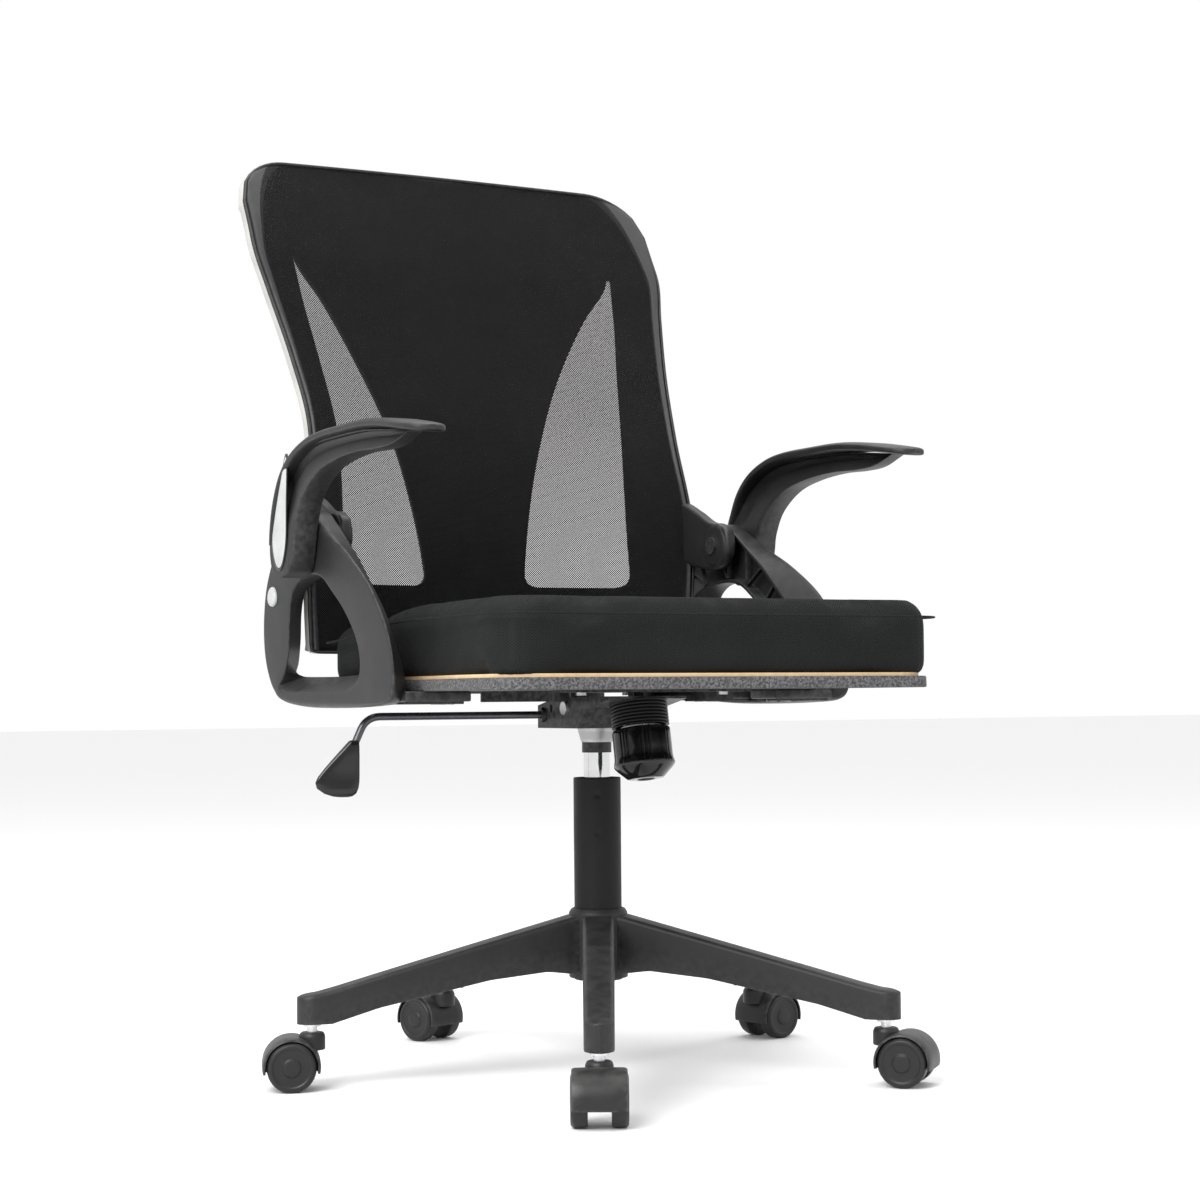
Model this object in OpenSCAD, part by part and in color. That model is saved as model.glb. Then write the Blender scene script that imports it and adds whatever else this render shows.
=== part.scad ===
// Swivel office chair with a folding mesh back and flip-up arms.
// The chair faces -Y. The origin is the floor point under the swivel axis.

/* [Base] */
// Distance from the swivel axis to each caster stem
base_r = 306; // [270:1:340]
// Direction of the first arm, in degrees from +X
base_turn = -118.5; // [-180:0.5:180]
// Outer radius of the hub
hub_r = 31; // [29:0.5:38]
// Height of the hub's top edge above the floor
hub_top = 173; // [160:1:200]
// Width of an arm at the hub
arm_w_hub = 34; // [28:1:44]
// Width of an arm at its caster
arm_w_end = 29; // [24:1:36]

/* [Casters] */
// Wheel radius
wheel_r = 25; // [20:0.5:30]
// Width of one wheel
wheel_w = 16.2; // [12:0.2:20]
// Gap between the two wheels of a caster
wheel_gap = 22; // [16:0.5:26]
// How far the axle trails behind the stem
trail = 21; // [16:0.5:26]
// Stem radius
stem_r = 5.5; // [4:0.5:7]
// Caster axle radius
axle_r = 4; // [3:0.25:5]

/* [Gas lift] */
// Outer radius of the column tube
column_r = 25; // [22:0.5:28]
// Height of the tube's top edge above the floor
column_top = 310; // [280:1:360]
// Radius of the gas cylinder
cylinder_r = 14; // [12:0.5:16]
// Length of bare cylinder above the tube
bare_h = 26; // [22:1:90]
// Radius of the piston rod
rod_r = 5; // [4:0.5:6]

/* [Tilt mechanism] */
// Half the inside width of the housing
housing_in = 42; // [38:1:60]
// Sheet thickness of the housing
sheet_t = 3; // [2:0.25:4]
// Distance of the tilt axle in front of the swivel axis
tilt_y = -15; // [-30:1:-5]
// Radius of the tilt axle
tilt_r = 5; // [4:0.5:7]
// Distance of the tension knob in front of the swivel axis
knob_y = -90; // [-110:1:-80]
// Forward lean of the tension knob
knob_lean = 11; // [0:0.5:16]
// Outer radius of the tension knob
knob_r = 30; // [24:0.5:34]

/* [Lever] */
// Radius of the lever rod
lever_r = 4; // [3:0.25:5]
// Length of the lever from the housing's wall to its bend
lever_reach = 196; // [170:1:198]

/* [Seat] */
// Width of the cushion at its front
seat_w = 510; // [460:1:620]
// How far the cushion reaches in front of the swivel axis
seat_front = 290; // [240:1:350]
// How far the cushion reaches behind the swivel axis
seat_back = 200; // [170:1:202]
// Height of the cushion above its lower edge
cushion_h = 77; // [50:1:95]
// Thickness of the seat board
board_t = 12; // [9:1:18]

/* [Side brackets and arms] */
// Thickness of a side bracket
bracket_t = 24; // [18:1:30]
// Thickness of an arm's side plate
arm_t = 29; // [20:1:36]
// Width of the arm pad
pad_w = 50; // [36:1:62]
// Radius of the hinge pin shared by an arm and the back
hinge_r = 6; // [4:0.5:8]

/* [Back] */
// Greatest width of the back
back_w = 522; // [440:1:560]
// Height of the back above the seat plate
back_h = 626; // [540:1:740]
// Wall thickness of the back shell
shell_t = 5; // [4:0.5:7]
// How much the mesh bellies backwards at its middle
mesh_sag = 20; // [8:1:21]

/* [Hidden] */
$fn = 48;
hull_fn = 32;
play = 0.05;
gap = 0.4;
CASTERS = [1:5];

// Colours
BLACK = [0.07, 0.07, 0.07];
CHARCOAL = [0.14, 0.14, 0.14];
SILVER = [0.62, 0.63, 0.63];
STEEL = [0.45, 0.45, 0.46];
FELT = [0.35, 0.35, 0.36];

// Base and casters
socket_z = 66;
stem_top = 91;
hub_low = 100;
caster_turn = [0, -2, -14, 14, -9.5];
hood_wall = 3;
tread_gap = 1.5;
web_half = wheel_gap / 2 - 2.5;
wheel_out = wheel_gap / 2 + wheel_w;
hood_r = wheel_r + tread_gap + hood_wall;
neck_top = 58;

// Gas lift
column_low = 98;
column_wall = 1.6;
column_in = column_r - column_wall;
column_floor = 3.5;
cylinder_low = 130;
cylinder_wall = 1.5;
collar_h = 11;
taper_h = 15;
collar_z = column_top + bare_h;
taper_z = collar_z + collar_h;
housing_z = taper_z + taper_h;
cylinder_top = housing_z + 10;
pin_r = 3;
pin_top = housing_z + 14.7;

// Heights from here on are above the underside of the seat plate
plate_rise = 37;
plate_z = housing_z + plate_rise;
plate_t = 2.5;
cover_t = 3;
board_z = plate_t + cover_t;
cushion_z = board_z + board_t - 4.5;
tilt_z = -16;
knob_z = -11;
lever_y = 35;
lever_z = -23;
lever_sweep = 7.4;
rod_bend = 24;
paddle_points = [[-14, -31], [-49, -65], [-44, -74], [-17, -77], [-13, -66]];
bush_r = 7;
plate_hole = [82.5, 100];
plate_mid_y = -20;
bolt_r = 3;

// Brackets, arms and hinge line, as points (y, z) in side view
bracket_x = seat_w / 2 - 9;
arm_x = bracket_x + bracket_t + gap;
hinge = [136, 169];
boss_r = 26;
button_at = [245, 108];
button_r = 8;
foot_y = [-45, 110];
foot_half = 26;
foot_in = 66;
bracket_outer = [[-82, 2], [-84, 26], [-74, 55], [-52, 84], [-20, 114], [32, 145], [80, 166],
    [115, 183], [142, 195], [185, 191], [235, 163], [266, 126], [277, 88], [276, 52], [265, 24],
    [245, 3], [215, -8], [150, -13.5], [60, -14.5], [-20, -13], [-66, -10]];
bracket_inner = [[-58, 0], [-54, 22], [-36, 50], [-10, 82], [24, 112], [58, 141], [88, 162],
    [117, 182], [142, 194], [184, 190], [234, 162], [264, 126], [275, 88], [274, 52], [263, 25],
    [243, 4], [214, -6], [150, -11.5], [60, -12.5], [-20, -11], [-48, -8]];
opening_outer = [[3, 38], [17, 62], [45, 87], [77, 107], [106, 123], [135, 127], [165, 123],
    [186, 108], [194, 80], [197, 46], [210, 24], [226, 9], [205, 3], [160, 2], [80, 2], [32, 4],
    [7, 15]];
opening_inner = [[19, 46], [27, 66], [51, 87], [80, 106], [108, 122], [140, 126], [178, 122],
    [207, 111], [218, 90], [221, 60], [227, 36], [234, 25], [214, 21], [165, 20], [95, 20],
    [50, 22], [23, 31]];
arm_outline = [[179, 161], [176, 191], [160, 221], [130, 246], [85, 262], [10, 262], [-70, 260],
    [-150, 252], [-158, 244], [-114, 237], [-33, 239], [50, 229], [85, 209], [105, 181],
    [110, 155], [122, 132], [145, 126], [169, 136]];
pad_outline = [[98, 259], [85, 263], [10, 270], [-70, 270], [-150, 260], [-195, 253], [-195, 244],
    [-150, 251], [-70, 260], [10, 262], [80, 254]];
cap_outline = [[125, 252], [141, 225], [158, 188], [166, 160], [155, 136], [140, 135], [128, 160],
    [126, 200]];

// Side view and width of the back at chosen heights: height, y, half width, shell depth,
// window's inner edge, window's outer edge
back_rows = [[0.0, 213, 0.904, 70, 58, 184], [0.09, 208, 0.92, 86, 61, 186],
    [0.26, 207, 0.923, 100, 73, 184], [0.44, 229, 0.889, 97, 99, 186],
    [0.57, 262, 0.916, 86, 130, 195], [0.71, 298, 0.969, 68, 174, 206],
    [0.79, 317, 1, 58, 205, 210], [0.85, 336, 1, 46, 206, 211],
    [0.92, 359, 1, 34, 206, 211], [1.0, 386, 1, 24, 206, 211]];
back_low = 48;
back_corner = 62;
foot_corner = 35;
window_rows = [4, 24];
row_count = 30;

module at_plate() { translate([0, 0, plate_z]) children(); }
module both_sides() {
    children();
    mirror([1, 0, 0]) children();
}

// A closed smooth outline through points, by Catmull-Rom curves
function curve(a, b, c, d, t) = 0.5 * (2 * b + (c - a) * t + (2 * a - 5 * b + 4 * c - d) * t * t
    + (3 * b - a - 3 * c + d) * t * t * t);
function smooth(p, n = 5) = let (m = len(p))
    [for (i = [0:m - 1], k = [0:n - 1])
        curve(p[(i + m - 1) % m], p[i], p[(i + 1) % m], p[(i + 2) % m], k / n)];

// A solid between two outlines (y, z) of as many points, near at the plane x0 and far at x1
module side_loft(near, far, x0, x1) {
    n = len(near);
    polyhedron(concat([for (p = near) [x0, p.x, p.y]], [for (p = far) [x1, p.x, p.y]]),
        concat([[for (i = [n - 1:-1:0]) i]], [[for (i = [0:n - 1]) n + i]],
            [for (i = [0:n - 1]) let (k = (i + 1) % n) each [[i, k, n + k], [i, n + k, n + i]]]));
}

// A slab with the outline (y, z) between two planes x0 and x1
module side_slab(outline, x0, x1) {
    translate([x0, 0, 0]) rotate([90, 0, 90]) linear_extrude(x1 - x0) polygon(outline);
}
module cross_pin(r, x0, x1, y, z) {
    translate([x0, y, z]) rotate([0, 90, 0]) cylinder(r = r, h = x1 - x0);
}

// ---- Base ----
function arm_dir(k) = base_turn + 72 * (k - 1);
module at_stem(k) { rotate(arm_dir(k)) translate([base_r, 0, 0]) children(); }
module at_caster(k) { at_stem(k) rotate(caster_turn[k - 1]) children(); }

module arm_side(drop) {
    polygon([[20, hub_top - 7 - drop], [hub_r - 3, hub_top - 7 - drop], [base_r - 12, 98 - drop],
        [base_r + 16, 95 - drop], [base_r + 16, socket_z - drop], [base_r - 18, socket_z - drop],
        [base_r * 0.78, 80 - drop], [base_r * 0.4, 103 - drop], [60, 109 - drop],
        [20, hub_low + 4 - drop]]);
}
module arm_plan(inset, end) {
    polygon([[10, -arm_w_hub / 2 + inset], [end, -arm_w_end / 2 + inset],
        [end, arm_w_end / 2 - inset], [10, arm_w_hub / 2 - inset]]);
}
module base_arm() {
    wall = 4;
    difference() {
        intersection() {
            rotate([90, 0, 0]) translate([0, 0, -arm_w_hub]) linear_extrude(2 * arm_w_hub)
                arm_side(0);
            linear_extrude(hub_top) union() {
                arm_plan(0, base_r);
                translate([base_r, 0]) circle(r = arm_w_end / 2 + 0.8);
            }
        }
        difference() {
            intersection() {
                rotate([90, 0, 0]) translate([0, 0, -arm_w_hub]) linear_extrude(2 * arm_w_hub)
                    arm_side(wall + 1);
                translate([0, 0, 20]) linear_extrude(hub_top) difference() {
                    arm_plan(wall, base_r - 20);
                    square([2 * (hub_r + 8), 2 * arm_w_hub], center = true);
                }
            }
            for (r = [hub_r + 50:50:base_r - 40])
                translate([r, 0, hub_top / 2]) cube([wall, arm_w_hub, hub_top], center = true);
            translate([base_r / 2, 0, hub_top / 2]) cube([base_r, wall, hub_top], center = true);
        }
    }
}
module star_base() {
    color(BLACK) difference() {
        union() {
            for (k = CASTERS) rotate(arm_dir(k)) base_arm();
            translate([0, 0, hub_low]) cylinder(r = hub_r, h = hub_top - hub_low - 5);
            translate([0, 0, hub_top - 5]) cylinder(r1 = hub_r, r2 = column_r + 2.5, h = 5, $fn = 96);
        }
        translate([0, 0, hub_low - 10]) cylinder(r = column_r, h = hub_top);
        for (k = CASTERS) at_stem(k) translate([0, 0, socket_z - 1])
            cylinder(r = stem_r, h = stem_top - socket_z + 1);
    }
}
module caster_stems() {
    flange = 2.5;
    color(SILVER) for (k = CASTERS) at_stem(k) union() {
        translate([0, 0, neck_top - 13]) cylinder(r = stem_r, h = stem_top - neck_top + 13);
        translate([0, 0, socket_z - flange]) cylinder(r = stem_r + 3.5, h = flange);
    }
}

// Caster parts stand in their own frame: stem on the Z axis, axle trailing along +X
module along_axle() { translate([trail, 0, wheel_r]) rotate([-90, 0, 0]) children(); }
module caster_hood(k) {
    half = wheel_out - 1.2;
    low = wheel_r - axle_r - 2;
    color(CHARCOAL) at_caster(k) difference() {
        union() {
            difference() {
                along_axle() translate([0, 0, -half]) cylinder(r = hood_r, h = 2 * half, $fn = 72);
                along_axle() difference() {
                    translate([0, 0, -half - 1]) cylinder(r = hood_r - hood_wall, h = 2 * half + 2);
                    translate([0, 0, -web_half]) cylinder(r = hood_r, h = 2 * web_half);
                }
            }
            translate([0, 0, wheel_r + 12]) cylinder(r = web_half + 5, h = neck_top - wheel_r - 12);
        }
        along_axle() for (s = [-1, 1]) translate([0, 0, s * (web_half + wheel_w)])
            cylinder(r = hood_r - hood_wall, h = 2 * wheel_w, center = true);
        translate([trail, 0, low - hood_r]) cube([4 * hood_r, 4 * half, 2 * hood_r], center = true);
        translate([0, 0, neck_top - 15]) cylinder(r = stem_r + play, h = 20);
        along_axle() translate([0, 0, -half]) cylinder(r = axle_r, h = 2 * half);
    }
}
module caster_axle(k) {
    color(STEEL) at_caster(k) along_axle()
        translate([0, 0, -wheel_out + 5]) cylinder(r = axle_r, h = 2 * (wheel_out - 5));
}
module caster_wheel(k, side) {
    inner = wheel_gap / 2;
    color(BLACK) at_caster(k) along_axle() scale([1, 1, side]) rotate_extrude($fn = 96)
        polygon([[axle_r + play, inner], [wheel_r - 1.5, inner], [wheel_r, inner + 1.5],
            [wheel_r, wheel_out - 2.7], [wheel_r - 2.5, wheel_out - 0.4], [8, wheel_out],
            [0, wheel_out], [0, wheel_out - 4], [axle_r + play, wheel_out - 4]]);
}

// ---- Gas lift ----
module column_tube() {
    color(CHARCOAL) rotate_extrude($fn = 96) polygon([[rod_r + play, column_low],
        [column_r, column_low], [column_r, column_top - 2], [column_r - 1, column_top],
        [column_in, column_top], [column_in, column_low + column_floor],
        [rod_r + play, column_low + column_floor]]);
}
module column_bushing() {
    bushing_h = 118;
    color(BLACK) translate([0, 0, column_top - 2 - bushing_h]) difference() {
        cylinder(r = column_in, h = bushing_h, $fn = 96);
        translate([0, 0, -1]) cylinder(r = cylinder_r + play, h = bushing_h + 2);
    }
}
module piston_rod() {
    piston_z = column_top - 70;
    color(STEEL) union() {
        translate([0, 0, column_low - 4]) cylinder(r = rod_r, h = piston_z + 8 - column_low + 4);
        translate([0, 0, piston_z]) cylinder(r = cylinder_r - cylinder_wall - play, h = 8);
        translate([0, 0, column_low - 3.3]) cylinder(r = rod_r + 4, h = 3);
    }
}
module thrust_bearing() {
    z = column_low + column_floor + 0.3;
    color(SILVER) translate([0, 0, z]) difference() {
        cylinder(r = rod_r + 9, h = 5);
        translate([0, 0, -1]) cylinder(r = rod_r, h = 7);
    }
}
module gas_cylinder() {
    inner = cylinder_r - cylinder_wall;
    roof = cylinder_top - 22;
    color([0.8, 0.8, 0.8]) rotate_extrude($fn = 96) polygon([[rod_r + play, cylinder_low],
        [cylinder_r, cylinder_low], [cylinder_r, cylinder_top], [pin_r + play, cylinder_top],
        [pin_r + play, roof + 2], [0, roof + 2], [0, roof - 4], [inner, roof - 4],
        [inner, cylinder_low + 4], [rod_r + play, cylinder_low + 4]]);
}
module column_collar() {
    color(BLACK) translate([0, 0, collar_z]) difference() {
        cylinder(r = cylinder_r + 1.6, h = collar_h);
        translate([0, 0, -1]) cylinder(r = cylinder_r, h = collar_h + 2);
    }
}
module taper_socket() {
    throat = cylinder_r + 4;
    color(STEEL) rotate_extrude($fn = 96) polygon([[cylinder_r, taper_z],
        [cylinder_r + 2.5, taper_z], [cylinder_r + 6.5, housing_z - 0.1],
        [throat, housing_z - 0.1], [throat, housing_z + 7], [cylinder_r, housing_z + 7]]);
}
module release_pin() {
    color(SILVER) translate([0, 0, pin_top - 20]) cylinder(r = pin_r, h = 20);
}

// ---- Tilt mechanism, in heights above the floor of the seat plate ----
function spring_seat(y) = knob_z - (y - knob_y) * tan(knob_lean);
module housing_side(inset) {
    low = -plate_rise + inset;
    front = knob_y - 22;
    polygon([[48 - inset, low], [48 - inset, -13 + 9 * inset], [23, -8 + 9 * inset],
        [tilt_y, -4 + 9 * inset], [front + inset, -4 + 9 * inset],
        [front + inset, spring_seat(front) + inset], [knob_y + 28, spring_seat(knob_y + 28) + inset],
        [knob_y + 50, low]]);
}
// Frame of the lever: origin in the housing's wall, the rod running out along -X
module in_lever_frame() {
    translate([-housing_in - sheet_t / 2, lever_y, lever_z]) rotate(-lever_sweep) children();
}
module mechanism_housing() {
    w = housing_in + sheet_t;
    color(BLACK) at_plate() difference() {
        rotate([90, 0, 90]) translate([0, 0, -w]) linear_extrude(2 * w) housing_side(0);
        rotate([90, 0, 90]) translate([0, 0, -housing_in]) linear_extrude(2 * housing_in)
            housing_side(sheet_t);
        translate([0, 0, -plate_rise - 1]) cylinder(r = cylinder_r + 4, h = sheet_t + 2);
        translate([0, knob_y, 0]) cylinder(r = 9, h = 60, center = true);
        cross_pin(tilt_r, -w - 1, w + 1, tilt_y, tilt_z);
        in_lever_frame() cross_pin(bush_r + 1, -2.5, 2.5, 0, 0);
        cross_pin(3, -w - 1, w + 1, 17, -15);
        cross_pin(2, -w - 1, w + 1, 17, -18);
    }
}
module tilt_axle() {
    w = housing_in + sheet_t;
    color(SILVER) at_plate() union() {
        cross_pin(tilt_r, -w - 1, w + 1, tilt_y, tilt_z);
        for (s = [-1, 1]) cross_pin(tilt_r + 2, s * (w + 1.5) - 1.5, s * (w + 1.5) + 1.5, tilt_y, tilt_z);
    }
}
module at_lever() { at_plate() in_lever_frame() children(); }
module lever_bush() {
    color(BLACK) at_lever() difference() {
        cross_pin(bush_r, -5, 5, 0, 0);
        cross_pin(lever_r + play, -6, 6, 0, 0);
    }
}
module lever_rod() {
    tongue_x = 56;
    color(STEEL) at_lever() union() {
        cross_pin(lever_r, -lever_reach, 21.5, 0, 0);
        translate([-lever_reach, 0, 0]) sphere(r = lever_r);
        translate([-lever_reach, 0, 0]) rotate([0, 180 + rod_bend, 0]) cylinder(r = lever_r, h = 44);
        translate([20, -lever_r, 1]) cube([tongue_x - 20, 2 * lever_r, 2.5]);
        translate([tongue_x - 28, -36, 1]) cube([28, 36, 2.5]);
    }
}
module lever_paddle() {
    color(BLACK) at_lever() translate([-lever_reach, 0, 0]) difference() {
        hull() for (p = paddle_points) translate([p.x, 0, p.y]) sphere(r = 5.5, $fn = hull_fn);
        rotate([0, 180 + rod_bend, 0]) cylinder(r = lever_r, h = 44);
    }
}

// Frame of the tension bolt: origin under the housing's tongue, +Z up along the bolt
module along_bolt() {
    at_plate() translate([0, knob_y, knob_z]) rotate([-knob_lean, 0, 0]) children();
}
boot_h = 25;
knob_h = 52;
bolt_shank = 4;
module tension_bolt() {
    color(STEEL) along_bolt() union() {
        translate([0, 0, -boot_h - knob_h + 12]) cylinder(r = bolt_shank, h = boot_h + knob_h + 4);
        translate([0, 0, 15.5]) cylinder(r = 7.5, h = 5, $fn = 6);
    }
}
module thrust_washer() {
    color(SILVER) along_bolt() translate([0, 0, -boot_h - 2]) difference() {
        cylinder(r = 22, h = 1.6);
        translate([0, 0, -1]) cylinder(r = bolt_shank + play, h = 4);
    }
}
module tension_knob() {
    flutes = 24;
    color(BLACK) along_bolt() translate([0, 0, -boot_h - 2.3 - knob_h]) difference() {
        union() {
            translate([0, 0, 14]) cylinder(r = knob_r, h = knob_h - 14);
            cylinder(r1 = knob_r - 12, r2 = knob_r + 1.5, h = 14, $fn = 96);
        }
        for (k = [1:flutes]) rotate(k * 360 / flutes) translate([knob_r + 1, 0, 16])
            cylinder(r = 1.6, h = knob_h);
        translate([0, 0, -1]) cylinder(r = 8, h = 5);
        translate([0, 0, 4]) cylinder(r = bolt_shank + play, h = knob_h);
    }
}
module tension_boot() {
    ribs = 7;
    pitch = (boot_h - 0.9) / ribs;
    color(BLACK) along_bolt() translate([0, 0, -boot_h + 0.3]) rotate_extrude($fn = 72) polygon(concat(
        [[knob_r - 5, 0]],
        [for (i = [0:ribs - 1]) each [[knob_r - 1.6, i * pitch], [knob_r - 0.6, (i + 0.5) * pitch]]],
        [[knob_r - 1.6, boot_h - 0.9], [knob_r - 5, boot_h - 0.9]]));
}
module tension_spring() {
    coil_r = 17;
    wire_r = 1.8;
    turns = 5;
    sides = 8;
    steps = 14;
    rise = (boot_h - 6) / turns;
    n = turns * steps;
    rings = [for (i = [0:n]) let (a = 360 * i / steps)
        for (j = [0:sides - 1]) let (b = 360 * j / sides, r = coil_r + wire_r * cos(b))
            [r * cos(a), r * sin(a), -boot_h + 3 + rise * a / 360 + wire_r * sin(b)]];
    walls = [for (i = [0:n - 1], j = [0:sides - 1]) let (q = i * sides, k = (j + 1) % sides)
        [q + j, q + k, q + sides + k, q + sides + j]];
    color(STEEL) along_bolt() polyhedron(rings, concat(walls,
        [[for (j = [sides - 1:-1:0]) j], [for (j = [0:sides - 1]) n * sides + j]]), convexity = 6);
}

// ---- Seat ----
module plate_bolt_places() {
    for (x = [-1, 1], y = [-1, 1])
        translate([x * plate_hole.x, plate_mid_y + y * plate_hole.y, 0]) children();
}
module plate_flange() {
    difference() {
        circle(r = 92 + plate_t, $fn = 96);
        circle(r = 92, $fn = 96);
    }
}
module seat_plate() {
    cheek_out = housing_in - 1;
    flange_h = 9;
    color(BLACK) at_plate() difference() {
        union() {
            linear_extrude(plate_t) difference() {
                translate([-105, plate_mid_y - 122]) square([210, 244]);
                for (s = [-1, 1]) translate([s * 148, plate_mid_y]) circle(r = 92, $fn = 96);
                for (s = [-1, 1]) translate([0, plate_mid_y + s * 190]) circle(r = 92, $fn = 96);
            }
            for (s = [-1, 1]) translate([s * (cheek_out - 1.5) - 1.5, tilt_y - 14, tilt_z - 9])
                cube([3, 28, 9 - tilt_z + 1]);
            translate([0, 0, -flange_h]) linear_extrude(flange_h + 1) intersection() {
                translate([-105, plate_mid_y - 122]) square([210, 244]);
                union() {
                    for (s = [-1, 1]) translate([s * 148, plate_mid_y]) plate_flange();
                    translate([0, plate_mid_y + 190]) plate_flange();
                }
            }
        }
        plate_bolt_places() translate([0, 0, -1]) cylinder(r = bolt_r, h = 5);
        translate([0, knob_y, -1]) cylinder(r = 6.5, h = 5);
        cross_pin(tilt_r + play, -housing_in, housing_in, tilt_y, tilt_z);
    }
}
module plate_bolts() {
    color(SILVER) at_plate() plate_bolt_places() union() {
        translate([0, 0, -3]) cylinder(r = 6, h = 3);
        cylinder(r = bolt_r, h = board_z + 8);
    }
}
module seat_plan(inset) {
    front = seat_w / 2 - inset;
    rear = bracket_x - 4 - inset;
    corner = 40;
    polygon(concat(
        [for (a = [180:15:270]) [-front + corner, -seat_front + inset + corner]
            + corner * [cos(a), sin(a)]],
        [for (a = [270:15:360]) [front - corner, -seat_front + inset + corner]
            + corner * [cos(a), sin(a)]],
        [[front, -160], [rear, -80]],
        [for (a = [0:15:90]) [rear - corner, seat_back - inset - corner] + corner * [cos(a), sin(a)]],
        [for (a = [90:15:180]) [-rear + corner, seat_back - inset - corner]
            + corner * [cos(a), sin(a)]],
        [[-rear, -80], [-front, -160]]));
}
module bracket_bolt_places() {
    for (s = [-1, 1], y = foot_y, d = [-14, 14])
        translate([s * (bracket_x - foot_in + 20), y + d, 0]) children();
}
module seat_board() {
    color([0.75, 0.6, 0.42]) at_plate() difference() {
        translate([0, 0, board_z]) linear_extrude(board_t) seat_plan(16);
        plate_bolt_places() cylinder(r = bolt_r, h = board_z + 8);
        bracket_bolt_places() cylinder(r = bolt_r, h = board_z + 8);
        translate([0, knob_y, 0]) cylinder(r = 14, h = board_z + 9);
    }
}
module underside_cover() {
    color(FELT) at_plate() difference() {
        translate([0, 0, plate_t]) linear_extrude(cover_t) seat_plan(12);
        plate_bolt_places() cylinder(r = bolt_r, h = 9);
        bracket_bolt_places() cylinder(r = bolt_r, h = 9);
        translate([0, knob_y, 0]) cylinder(r = 14, h = 9);
    }
}
module seat_cushion() {
    top_in = 14;
    skirt = board_z + board_t - cushion_z;
    color(BLACK) at_plate() union() {
        translate([0, 0, cushion_z]) linear_extrude(skirt) difference() {
            seat_plan(0);
            seat_plan(16);
        }
        translate([0, 0, cushion_z + skirt]) linear_extrude(cushion_h - skirt - 22) seat_plan(0);
        translate([0, 0, cushion_z + cushion_h - 22]) linear_extrude(12) seat_plan(5);
        translate([0, 0, cushion_z + cushion_h - 10]) linear_extrude(10) seat_plan(top_in);
    }
}

// ---- Side brackets ----
module bracket(side) {
    x0 = bracket_x;
    x1 = bracket_x + bracket_t;
    color(BLACK) at_plate() mirror([side < 0 ? 1 : 0, 0, 0]) difference() {
        union() {
            difference() {
                side_loft(smooth(bracket_inner, 4), smooth(bracket_outer, 4), x0, x1);
                side_loft(smooth(opening_inner, 4), smooth(opening_outer, 4), x0 - 1, x1 + 1);
            }
            for (y = foot_y) translate([x0 - foot_in, y - foot_half, -8])
                cube([foot_in + 6, 2 * foot_half, plate_t + 8]);
        }
        cross_pin(hinge_r, x0 - 1, x1 + 1, hinge.x, hinge.y);
        cross_pin(button_r + play, x0 + 4, x1 + 1, button_at.x, button_at.y);
        bracket_bolt_places() translate([0, 0, -9]) cylinder(r = bolt_r, h = 20);
    }
}
module bracket_bolts() {
    color(SILVER) at_plate() bracket_bolt_places() union() {
        translate([0, 0, -11]) cylinder(r = 6, h = 3);
        translate([0, 0, -8]) cylinder(r = bolt_r, h = board_z + 16);
    }
}
module hinge_pins() {
    ear_reach = 19;
    color(STEEL) at_plate() both_sides() union() {
        cross_pin(hinge_r, bracket_x - ear_reach, arm_x + arm_t - 9, hinge.x, hinge.y);
        cross_pin(hinge_r + 4, bracket_x - ear_reach - 2.5, bracket_x - ear_reach, hinge.x, hinge.y);
    }
}
module button_springs() {
    color(STEEL) at_plate() both_sides() difference() {
        cross_pin(5, bracket_x + 4, bracket_x + 12, button_at.x, button_at.y);
        cross_pin(4, bracket_x + 3, bracket_x + 13, button_at.x, button_at.y);
    }
}
module release_button(side) {
    x1 = bracket_x + bracket_t;
    color(SILVER) at_plate() scale([side, 1, 1]) union() {
        cross_pin(button_r, bracket_x + 12.3, x1 + 2, button_at.x, button_at.y);
        cross_pin(button_r - 1.5, x1, x1 + 4, button_at.x, button_at.y);
    }
}

// ---- Arms ----
module arm(side) {
    mid = arm_x + 7;
    tip_r = pad_w / 2;
    color(BLACK) at_plate() scale([side, 1, 1]) difference() {
        union() {
            side_slab(smooth(arm_outline), arm_x, arm_x + arm_t);
            intersection() {
                side_slab(pad_outline, mid - pad_w / 2, mid + pad_w / 2);
                union() {
                    translate([mid, -195 + tip_r, 200]) cylinder(r = tip_r, h = 90);
                    translate([mid - tip_r, -195 + tip_r, 200]) cube([pad_w, 400, 90]);
                }
            }
        }
        cross_pin(hinge_r + play, arm_x - 1, arm_x + arm_t - 8, hinge.x, hinge.y);
    }
}
module arm_cap(side) {
    x1 = arm_x + arm_t;
    color(SILVER) at_plate() scale([side, 1, 1]) side_slab(smooth(cap_outline, 4), x1, x1 + 3);
}

// ---- Back ----
// v runs from 0 at the bottom to 1 at the top, and u from -1 to 1 across
function row(v, i) = lookup(v, [for (r = back_rows) [r[0], r[i]]]);
function back_y(v) = row(v, 1);
function half_w(v) = row(v, 2) * back_w / 2;
function corner_drop(x, r) = x > back_w / 2 - r ? r - sqrt(max(0, r * r - pow(x - back_w / 2 + r, 2)))
    : 0;
function back_z(u, v) = let (
    top = back_h - 8 * u * u - corner_drop(abs(u) * back_w / 2, back_corner) * 0.85,
    low = back_low + corner_drop(abs(u) * back_w / 2, foot_corner))
    low + v * (top - low);
function share(z) = (z - back_low) / (back_h - back_low);
function shell_y(u, v) = back_y(v) + row(v, 3) * (1 - pow(abs(u), 2.8));
function mesh_y(u, v) = back_y(v) + mesh_sag * (1 - u * u);
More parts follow.
